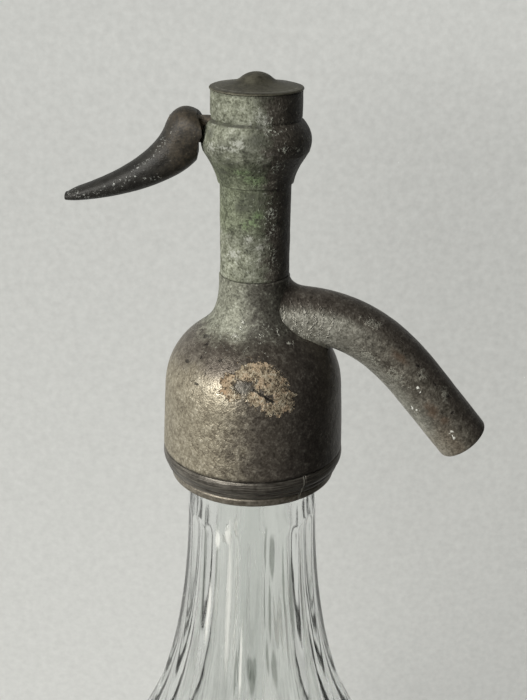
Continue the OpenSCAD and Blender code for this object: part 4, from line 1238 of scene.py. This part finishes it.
def verdigris():
    """Brass under mottled grey-green patina; the side away from the light is nearly black, with dark patina and
    painted shade.
    """
    f = Finish("verdigris", Metallic=0.0)
    arc = f.arc(COLUMN_ARC)
    cloud = f.noise(6, detail=5, roughness=0.6, seed=20.0)
    mottle = f.noise(2.4, detail=3, roughness=0.74, seed=21.0)
    crumbs = f.noise(0.68, detail=2, roughness=0.65, seed=22.0)
    run = f.noise(2.0, detail=5, roughness=0.70, seed=24.0,
                  place=f.vector("MULTIPLY", f.place, (1, 1, 0.4)))
    ragged = f.noise(3.2, detail=4, roughness=0.76, seed=23.0) - 0.5
    grain = mottle * 0.32 + crumbs * 0.46 + run * 0.22
    patina = f.ramp(grain, PATINA)
    # Greener under the bulb, paler at the foot and on the cylinder
    stretch = f.z + ragged * 7
    green = stretch.rise(66, 70) * stretch.rise(90.5, 86.5)
    f.colour = f.blend(green * 0.5, patina, f.ramp(grain, GREEN_PATINA))
    level = f.mix(stretch.rise(70, 60), f.mix(stretch.rise(92, 100), 0.84, 1.10), 1.18)
    level = level * f.mix((f.z + ragged * 3).band(85.5, 2.6, 2.2), 1.0, 0.90)
    # Painted shade: darker towards the right, away from the light
    level = level * f.mix((f.x + ragged * 6).rise(-6.0, 2.5), 1.04, 0.72)
    f.colour = f.shade(f.colour, level * f.mix(cloud.rise(0.35, 0.65), 0.75, 1.2))
    soft = (mottle - 0.5) * 2.0 + (crumbs - 0.5) * 2.2
    spots = (arc.nearest_spot(f.z, GREEN_SPOTS) + soft * 1.2).rise(0.05, 1.2)
    f.paint(spots * 0.6, GREEN_SPOT)
    spots = (arc.nearest_spot(f.z, DARK_SPOTS) + soft).rise(0.15, 0.9)
    f.paint(spots * 0.65, DARK_SPOT)
    spots = (arc.nearest_spot(f.z, WHITE_SPOTS) + soft).rise(0.25, 1.0)
    f.paint(spots * 0.65, WHITE_SPOT)
    # The dark side: dark patina and painted shade, with pale flecks left on it
    side = (f.x - 3.0 + ragged * 15.0 + (mottle - 0.5) * 4.0).rise(-2.2, 2.6)
    patina_and_shade = f.ramp(crumbs * 0.6 + mottle * 0.4, DARK_PATINA_AND_SHADE)
    f.paint(side * 0.92, patina_and_shade)
    flecks = arc.nearest_spot(f.z, FLECK_SPOTS) * 0.7 + (crumbs - 0.5) * 3.4 + (mottle - 0.5) * 1.0
    flecks = flecks.rise(0.45, 0.95).highest((crumbs - 0.5).rise(0.13, 0.22) * 0.6)
    f.paint(flecks * 0.8, FLECK)
    # Dirt in the groove, over the bead, at the seam and under the cap
    dirt = (f.z.band(GROOVE_Z, 0.2, 0.4) * f.x.rise(4.0, 0.0)).highest(f.z.band(BEAD_Z, 0.1, 0.25) * 0.45)
    dirt = dirt.highest(f.z.band(SEAM_Z, 0.1, 0.3) * 0.55) * (crumbs * 0.5 + mottle * 0.5).rise(0.40, 0.54)
    dirt = dirt.highest((f.z + ragged * 2).rise(COLUMN_TOP - 1.1, COLUMN_TOP - 0.1) * 0.5)
    f.paint(dirt * 0.8, GREEN_DIRT)
    height = mottle * 0.9 + crumbs * 0.9 + flecks * 0.7 - side * 0.25
    return f.done(0.58 + 0.3 * crumbs - 0.18 * side, height, 0.30)


RUBBED_PLACE = ((-28.8, 82.4), (4.5, 1.8))
SCUFFED = (0.46, 0.47, 0.44)


def blackened(name, tone, shine, scuffs):
    """Dark cast metal, nearly black, with pale scuffs and a broken skin."""
    f = Finish(name, Metallic=0.2, Specular_IOR_Level=0.35)
    mottle = f.noise(3.0, detail=5, seed=31.0)
    scuff = f.noise(0.8, detail=2, roughness=0.7, seed=32.0)
    # The metal's grain runs down the lever
    drawn = f.noise(1.0, detail=5, roughness=0.7, seed=34.0, warp=0.3,
                    place=f.vector("MULTIPLY", f.place, (0.45, 1.5, 1.5)))
    f.colour = f.blend(mottle.rise(0.35, 0.65), scaled(tone, 0.7), scaled(tone, 1.35))
    root = f.x.rise(-30, -18)
    worn = root * (0.2 + 0.8 * (scuff * 0.5 + mottle * 0.5).rise(0.42, 0.60)) * 0.85
    f.paint(worn, tuple(t * brown for t, brown in zip(tone, (3.8, 3.2, 2.6))))
    # Scuffed along the crest where thumbs rub, the pale scuffs there also a painted highlight, and here and
    # there on its flank
    crest = 77.0 + 0.0295 * (f.x + 48) ** 2.0
    rubbed_and_sheen = (f.z - crest + (mottle - 0.5) * 4).band(0.2, 0.8, 1.5) * f.x.rise(-18, -26)
    rubbed_and_sheen = rubbed_and_sheen.highest(f.x.spot(f.z, *RUBBED_PLACE).rise(0.0, 0.5))
    marks = (scuff * 0.7 + drawn * 0.3 + rubbed_and_sheen * 0.08).rise(0.62, 0.72)
    f.paint(marks * scuffs * 0.75, SCUFFED)
    height = mottle * 0.7 + scuff * 0.55 + drawn * 0.45
    return f.done(shine + 0.22 * mottle + 0.14 * drawn, height, 0.22)


HAZE_AND_HIGHLIGHT_STREAKS = ((-6.5, -44.0, 1.1, 30.0), (-11.0, -25.0, 1.2, 5.0), (-7.4, -23.0, 1.6, 4.0),
                (16.8, -44.0, 0.8, 26.0), (-2.6, -66.0, 0.5, 16.0), (-13.5, -52.0, 0.8, 14.0),
                (10.8, -60.0, 0.5, 14.0))
GREY_STREAKS = ((6.3, -29.5, 0.9, 9.0), (13.0, -46.0, 1.0, 17.0), (6.3, -70.0, 1.1, 8.0),
                (5.6, -48.0, 0.5, 12.0), (-15.6, -40.0, 0.8, 26.0), (0.4, -72.0, 0.9, 6.0),
                (-4.0, -70.0, 0.4, 10.0))
GREY_DIRT = (0.30, 0.32, 0.295)
DRIED_LIME_AND_HIGHLIGHT = (0.86, 0.87, 0.83)


def clear_glass(name, tint, old=False):
    """Clear glass; an old bottle's has waves in it, streaks of grey, and pale streaks of dried lime and painted
    highlight down it.
    """
    f = Finish(name, Transmission_Weight=1.0, Roughness=0.10 if old else 0.0, IOR=1.5, Base_Color=(*tint, 1))
    if old:
        waves = f.noise(6.0, detail=2, seed=41.0, place=f.vector("MULTIPLY", f.place, (1, 1, 0.16)))
        f.feed("Normal", f.bump(waves, 0.3))
        arc = f.arc(NECK_ARC)
        down = f.sheet(arc, f.z * 0.07)
        below_ring = f.z.rise(-9, -14)
        fine = f.noise(1.3, detail=3, roughness=0.65, seed=42.0, place=down)
        wide = f.noise(3.4, detail=2, seed=43.0, place=down)
        low = f.z.rise(-30, -75)
        grey = (arc.nearest_spot(f.z, GREY_STREAKS) + (fine - 0.5) * 1.6).rise(0.0, 0.5)
        grey = grey.highest((fine * 0.6 + wide * 0.4 + low * 0.06).rise(0.56, 0.68) * 0.30)
        f.feed("Base Color", f.blend(grey * below_ring, tint, GREY_DIRT))
        # Pale streaks: dried lime, and at the neck's left a painted highlight of the window
        lime = (arc.nearest_spot(f.z, HAZE_AND_HIGHLIGHT_STREAKS) + (fine - 0.5) * 1.6).rise(0.1, 0.7) * 0.75
        lime = lime.highest((fine * 0.5 + wide * 0.5 - low * 0.03).rise(0.46, 0.36) * 0.14)
        dried = f.node("ShaderNodeBsdfDiffuse", {}, {"Color": (*DRIED_LIME_AND_HIGHLIGHT, 1)})
        f.show(f.node("ShaderNodeMixShader", {}, {0: lime * below_ring, 1: f.shader, 2: dried}))
    return f.material


def plain(name, colour, rough, metallic=0.0, size=1.2):
    """A simple worked material: two close shades and a fine grain."""
    f = Finish(name, Metallic=metallic)
    mottle = f.noise(size, detail=4, seed=51.0)
    f.colour = f.blend(mottle.rise(0.35, 0.65), scaled(colour, 0.7), colour)
    return f.done(rough + 0.2 * mottle, mottle, 0.05)


def make_finishes():
    return {
        "glass": clear_glass("bottle_glass", (0.976, 0.990, 0.977), old=True),
        "tube_glass": clear_glass("tube_glass", (0.995, 1.0, 0.997)),
        "bell_metal": bell_pewter(),
        "spout_metal": spout_pewter(),
        "column_metal": verdigris(),
        "cap_metal": pewter("cap_bronze", (0.060, 0.056, 0.040), (0.150, 0.142, 0.105), shine=0.40, seed=80.0,
                            rings=0.25),
        "ring_metal": pewter("ring_pewter", (0.045, 0.039, 0.032), (0.26, 0.24, 0.205), shine=0.30, seed=90.0,
                             streaks=0.7),
        "handle_metal": blackened("blackened_lever", (0.024, 0.023, 0.020), 0.33, scuffs=0.9),
        "arm_metal": blackened("lever_arm", (0.07, 0.066, 0.058), 0.5, scuffs=0.4),
        "brass": plain("turned_brass", (0.62, 0.46, 0.2), 0.3, metallic=1.0),
        "spring_steel": plain("spring_wire", (0.5, 0.5, 0.5), 0.3, metallic=1.0),
        "rubber": plain("old_rubber", (0.05, 0.045, 0.04), 0.7),
        "leather": plain("greased_leather", (0.25, 0.15, 0.08), 0.6, size=0.8),
    }


# ---- Assembly ----

def dress(piece, slot, body, finish=None):
    """Gives a piece the body it rides on and its finish, which is the slot's if no other is named."""
    piece.data.materials.clear()
    piece.data.materials.append(finishes[finish or slot])
    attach(piece, body)


place_camera()
make_floor()
light_room()
finishes = make_finishes()
slots = {part["node"]: part["material_slot"] for part in frame["record"]["subparts"]}
for node_name, cad_node in NODES.items():
    cad_node.data.materials.clear()
    cad_node.data.materials.append(finishes[slots[node_name]])

HEAD_BODY, LEVER_BODY = "bottle_and_head", "lever"
dress(make_bottle(), "glass", HEAD_BODY)
dress(make_bell(), "bell_metal", HEAD_BODY)
dress(make_spout(), "spout_metal", HEAD_BODY)
dress(make_column(), "column_metal", HEAD_BODY)
dress(make_cap(), "cap_metal", HEAD_BODY)
dress(make_ring_half("ring_front_half", 1), "ring_metal", HEAD_BODY)
dress(make_ring_half("ring_back_half", -1), "ring_metal", HEAD_BODY)
dress(softened("lever_pin", 0.2, "hinge_pin"), "arm_metal", HEAD_BODY, finish="column_metal")
dress(softened("lever_arm", 0.3, "lever_tongue"), "arm_metal", LEVER_BODY)
dress(make_handle(), "handle_metal", LEVER_BODY)
dress(make_spring(), "spring_steel", HEAD_BODY)
